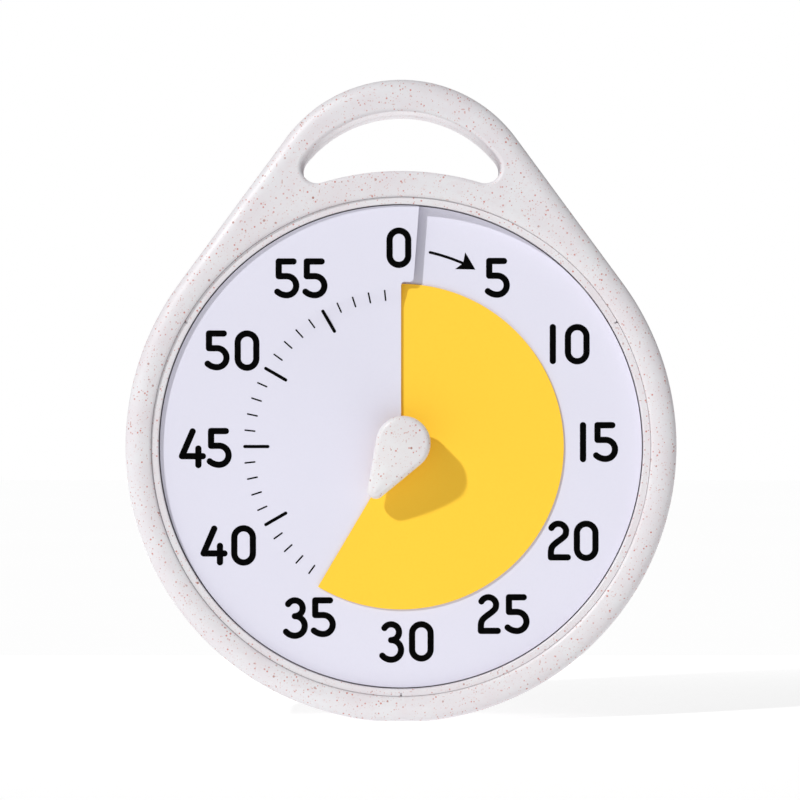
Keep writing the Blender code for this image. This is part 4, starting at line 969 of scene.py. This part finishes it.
def arrow_shaft():
    path = []
    for i in range(17):
        share = i / 16
        path.append((ARROW_START + ARROW_TURN * share, ARROW_RADIUS - ARROW_DIP * share))
    outline = [clock(angle, radius + ARROW_HALF) for angle, radius in path]
    outline += [clock(angle, radius - ARROW_HALF) for angle, radius in reversed(path)]
    a, u = clock(ARROW_START, ARROW_RADIUS)
    for k in range(1, 8):
        turn = math.radians(ARROW_START + 180 + 180 * k / 8)
        outline.append((a + ARROW_HALF * math.sin(turn), u + ARROW_HALF * math.cos(turn)))
    return lay_print("dial_arrow_shaft", [flat_shape(outline)])


def arrow_head():
    outline = [clock(22.8, 57.0), clock(17.0, 55.1), clock(18.7, 57.5), clock(18.3, 60.75)]
    return lay_print("dial_arrow_head", [flat_shape(outline)])


dress(minute_marks(), "case", INK, sharp=30)
dress(arrow_shaft(), "case", INK, sharp=30)
dress(arrow_head(), "case", INK, sharp=30)


# Knob


def knob_rim():
    """Outline of the knob with the point of its spine that each outline point belongs to."""
    lean = math.degrees(math.acos((KNOB_HEAD - KNOB_TIP) / KNOB_LENGTH))
    head = clock(DISC_ANGLE + 180, KNOB_OFFSET)
    tip = clock(DISC_ANGLE, KNOB_LENGTH - KNOB_OFFSET)
    rim = [(clock(DISC_ANGLE + lean + (360 - 2 * lean) * i / 64, KNOB_HEAD), head) for i in range(65)]
    side = clock(DISC_ANGLE - lean, 1.0)
    for i in range(1, 16):
        share = i / 16
        radius = KNOB_HEAD + (KNOB_TIP - KNOB_HEAD) * share
        middle = tuple(head[k] + (tip[k] - head[k]) * share for k in (0, 1))
        rim.append(((side[0] * radius, side[1] * radius), middle))
    rim += [(clock(DISC_ANGLE - lean + 2 * lean * i / 24, KNOB_TIP), tip) for i in range(25)]
    side = clock(DISC_ANGLE + lean, 1.0)
    for i in range(15, 0, -1):
        share = i / 16
        radius = KNOB_HEAD + (KNOB_TIP - KNOB_HEAD) * share
        middle = tuple(head[k] + (tip[k] - head[k]) * share for k in (0, 1))
        rim.append(((side[0] * radius, side[1] * radius), middle))
    return rim


def knob_crown(a, u):
    axis = clock(DISC_ANGLE, 1)
    along = a * axis[0] + u * axis[1]
    share = min(max((along + 5.0) / (KNOB_LENGTH + 5.0), 0), 1)
    return KNOB_TOP + 0.02 + (KNOB_TIP_TOP - KNOB_TOP) * share**2


def knob_grip():
    rim = knob_rim()
    top_round = 1.7

    def ring(inset, drop=None, depth=None):
        made = []
        for (ra, ru), (ma, mu) in rim:
            radius = math.hypot(ra, ru)
            k = max(radius - inset, 0.0) / radius
            a, u = ma + ra * k, mu + ru * k
            made.append((a, knob_crown(a, u) + drop if depth is None else depth, u))
        return made

    def share_ring(share, drop):
        made = []
        for (ra, ru), (ma, mu) in rim:
            radius = math.hypot(ra, ru)
            k = max(radius - top_round, 0.0) / radius * share
            a, u = ma + ra * k, mu + ru * k
            made.append((a, knob_crown(a, u) + drop, u))
        return made

    rings = [ring(0.4, depth=KNOB_BASE), ring(0.15, depth=KNOB_BASE - 0.12), ring(0.0, depth=KNOB_BASE - 0.4)]
    dome = 0.3
    for i in range(9):
        turn = math.radians(90 * i / 8)
        inset = top_round * (1 - math.cos(turn)) * 0.93
        drop = top_round * (1 - math.sin(turn)) + dome
        rings.append(ring(inset, drop))
    for share in (0.9, 0.75, 0.6, 0.45, 0.3, 0.15, 0.0):
        rings.append(share_ring(share, dome * share**2))
    count = len(rim)
    points = [point for one in rings for point in one]
    faces = [tuple(range(count))]
    for i in range(len(rings) - 1):
        for j in range(count):
            k = (j + 1) % count
            faces.append((i * count + j, i * count + k, (i + 1) * count + k, (i + 1) * count + j))
    return solid("knob_grip", points, faces)


dress(knob_grip(), "knob_and_spindle", SKINS["speckled_knob"], ["knob"], sharp=50)


# Back


def door_panel():
    low = BAY_UP - 7.5
    high = BAY_UP + 7.5
    rings = [(0, 13.2), (0, 14.55), (-0.1, 14.75), (-0.35, 14.9)]
    door = slab("door_panel", (-30.7, 30.7), (low - 1.0, high + 1.0), 1.3, rings)
    steps = []
    for i, (across, up) in enumerate((
        ((-20.0, -14.0), (low + 0.4, low + 1.3)),
        ((14.0, 20.0), (low + 0.4, low + 1.3)),
        ((-4.0, 4.0), (high - 1.3, high - 0.4)),
    )):
        steps.append(("UNION", slab(f"tab_{i}", across, up, 0.3, [(-0.2, 10.6), (0, 10.9), (0, 13.8)])))
    for i in range(3):
        up = BAY_UP + 2.6 + i * 1.6
        rings = [(-0.2, 14.45), (0, 14.6), (0.5, 15.1)]
        steps.append(("DIFFERENCE", slab(f"grip_{i}", (-7.0, 7.0), (up, up + 0.7), 0.34, rings)))
    return carve(door, steps)


def stand_leg():
    half = 20.0
    rings = [(-0.5, 12.4), (-0.15, 12.55), (0, 12.9), (0, 14.2), (-0.15, 14.55), (-0.5, 14.7)]
    leg = slab("stand_leg", (-half, half), (STAND_FOOT, STAND_UP), 1.6, rings)
    lay = arc((STAND_DEPTH, STAND_UP), 1.9, 0, 360, 40)[:-1]
    steps = [("UNION", bar("barrel", lay, half - 0.001))]
    bore = arc((STAND_DEPTH, STAND_UP), 1.2, 0, 360, 24)[:-1]
    steps.append(("DIFFERENCE", bar("bore", bore, half + 2)))
    rings = [(0.9, 11.9), (0, 12.8), (0, 14.3), (0.9, 15.2)]
    steps.append(("DIFFERENCE", slab("window", (-11.0, 11.0), (-38.0, 2.0), 3.0, rings)))
    return carve(leg, steps)


dress(door_panel(), "door", SKINS["speckled_door"], ["battery_door"])
dress(stand_leg(), "stand", SKINS["speckled_stand"], ["kickstand"])


# Room, light and camera


def lay_floor():
    """Pale floor that gives off part of its own light, so that shadows on it stay faint."""
    paint, tree, shader, place = start("floor_look")
    tone = spread(tree, noise(tree, place, 300.0, 2.0), 0.3, 0.7)
    colour = mix(tree, tone, (0.36, 0.36, 0.36), (0.35, 0.35, 0.35))
    tree.links.new(colour, shader.inputs["Base Color"])
    shader.inputs["Roughness"].default_value = 0.9
    shader.inputs["Specular IOR Level"].default_value = 0.1
    shader.inputs["Emission Color"].default_value = (1, 1, 1, 1)
    shader.inputs["Emission Strength"].default_value = FLOOR_GLOW
    mesh = bpy.data.meshes.new("floor")
    mesh.from_pydata([(-3, -3, 0), (3, -3, 0), (3, 3, 0), (-3, 3, 0)], [], [(0, 1, 2, 3)])
    mesh.materials.append(paint)
    floor = bpy.data.objects.new("floor", mesh)
    bpy.context.scene.collection.objects.link(floor)
    floor.location = (0, 0, -0.00005)


def light_room():
    """White room: full white to the eye, dimmer as a light."""
    world = bpy.data.worlds.new("studio")
    bpy.context.scene.world = world
    world.use_nodes = True
    tree = world.node_tree
    ground = tree.nodes["Background"]
    ray = tree.nodes.new("ShaderNodeLightPath").outputs["Is Camera Ray"]
    inputs = {"Value": ray, "To Min": ROOM_LIGHT, "To Max": 1.0}
    level = node(tree, "ShaderNodeMapRange", inputs).outputs[0]
    ground.inputs["Color"].default_value = (1, 1, 1, 1)
    tree.links.new(level, ground.inputs["Strength"])


def lamp(name, data, way):
    made = bpy.data.objects.new(name, data)
    bpy.context.scene.collection.objects.link(made)
    made.rotation_mode = "QUATERNION"
    made.rotation_quaternion = Vector(way).to_track_quat("-Z", "Y")
    return made


def hang_lamps():
    """Sun from the upper left, and a low panel behind that lights the finger hole's roof."""
    sun = bpy.data.lights.new("key", "SUN")
    sun.energy = SUN_STRENGTH
    sun.angle = math.radians(SUN_WIDTH)
    lamp("key", sun, SUN_WAY)
    panel = bpy.data.lights.new("low_panel", "AREA")
    panel.shape = "RECTANGLE"
    panel.size = 0.4
    panel.size_y = 0.1
    panel.energy = PANEL_POWER
    low = lamp("low_panel", panel, PANEL_WAY)
    low.location = PANEL_PLACE
    low.visible_camera = False


def place_camera():
    lens = bpy.data.cameras.new("camera")
    lens.sensor_width = 36.0
    lens.lens = CAMERA_LENS
    lens.clip_end = 20.0
    camera = bpy.data.objects.new("camera", lens)
    bpy.context.scene.collection.objects.link(camera)
    camera.location = CAMERA_PLACE
    camera.rotation_euler = (math.radians(90), 0, 0)
    bpy.context.scene.camera = camera
    bpy.context.scene.view_settings.view_transform = "Standard"
    bpy.context.scene.view_settings.look = "None"


lay_floor()
light_room()
hang_lamps()
place_camera()
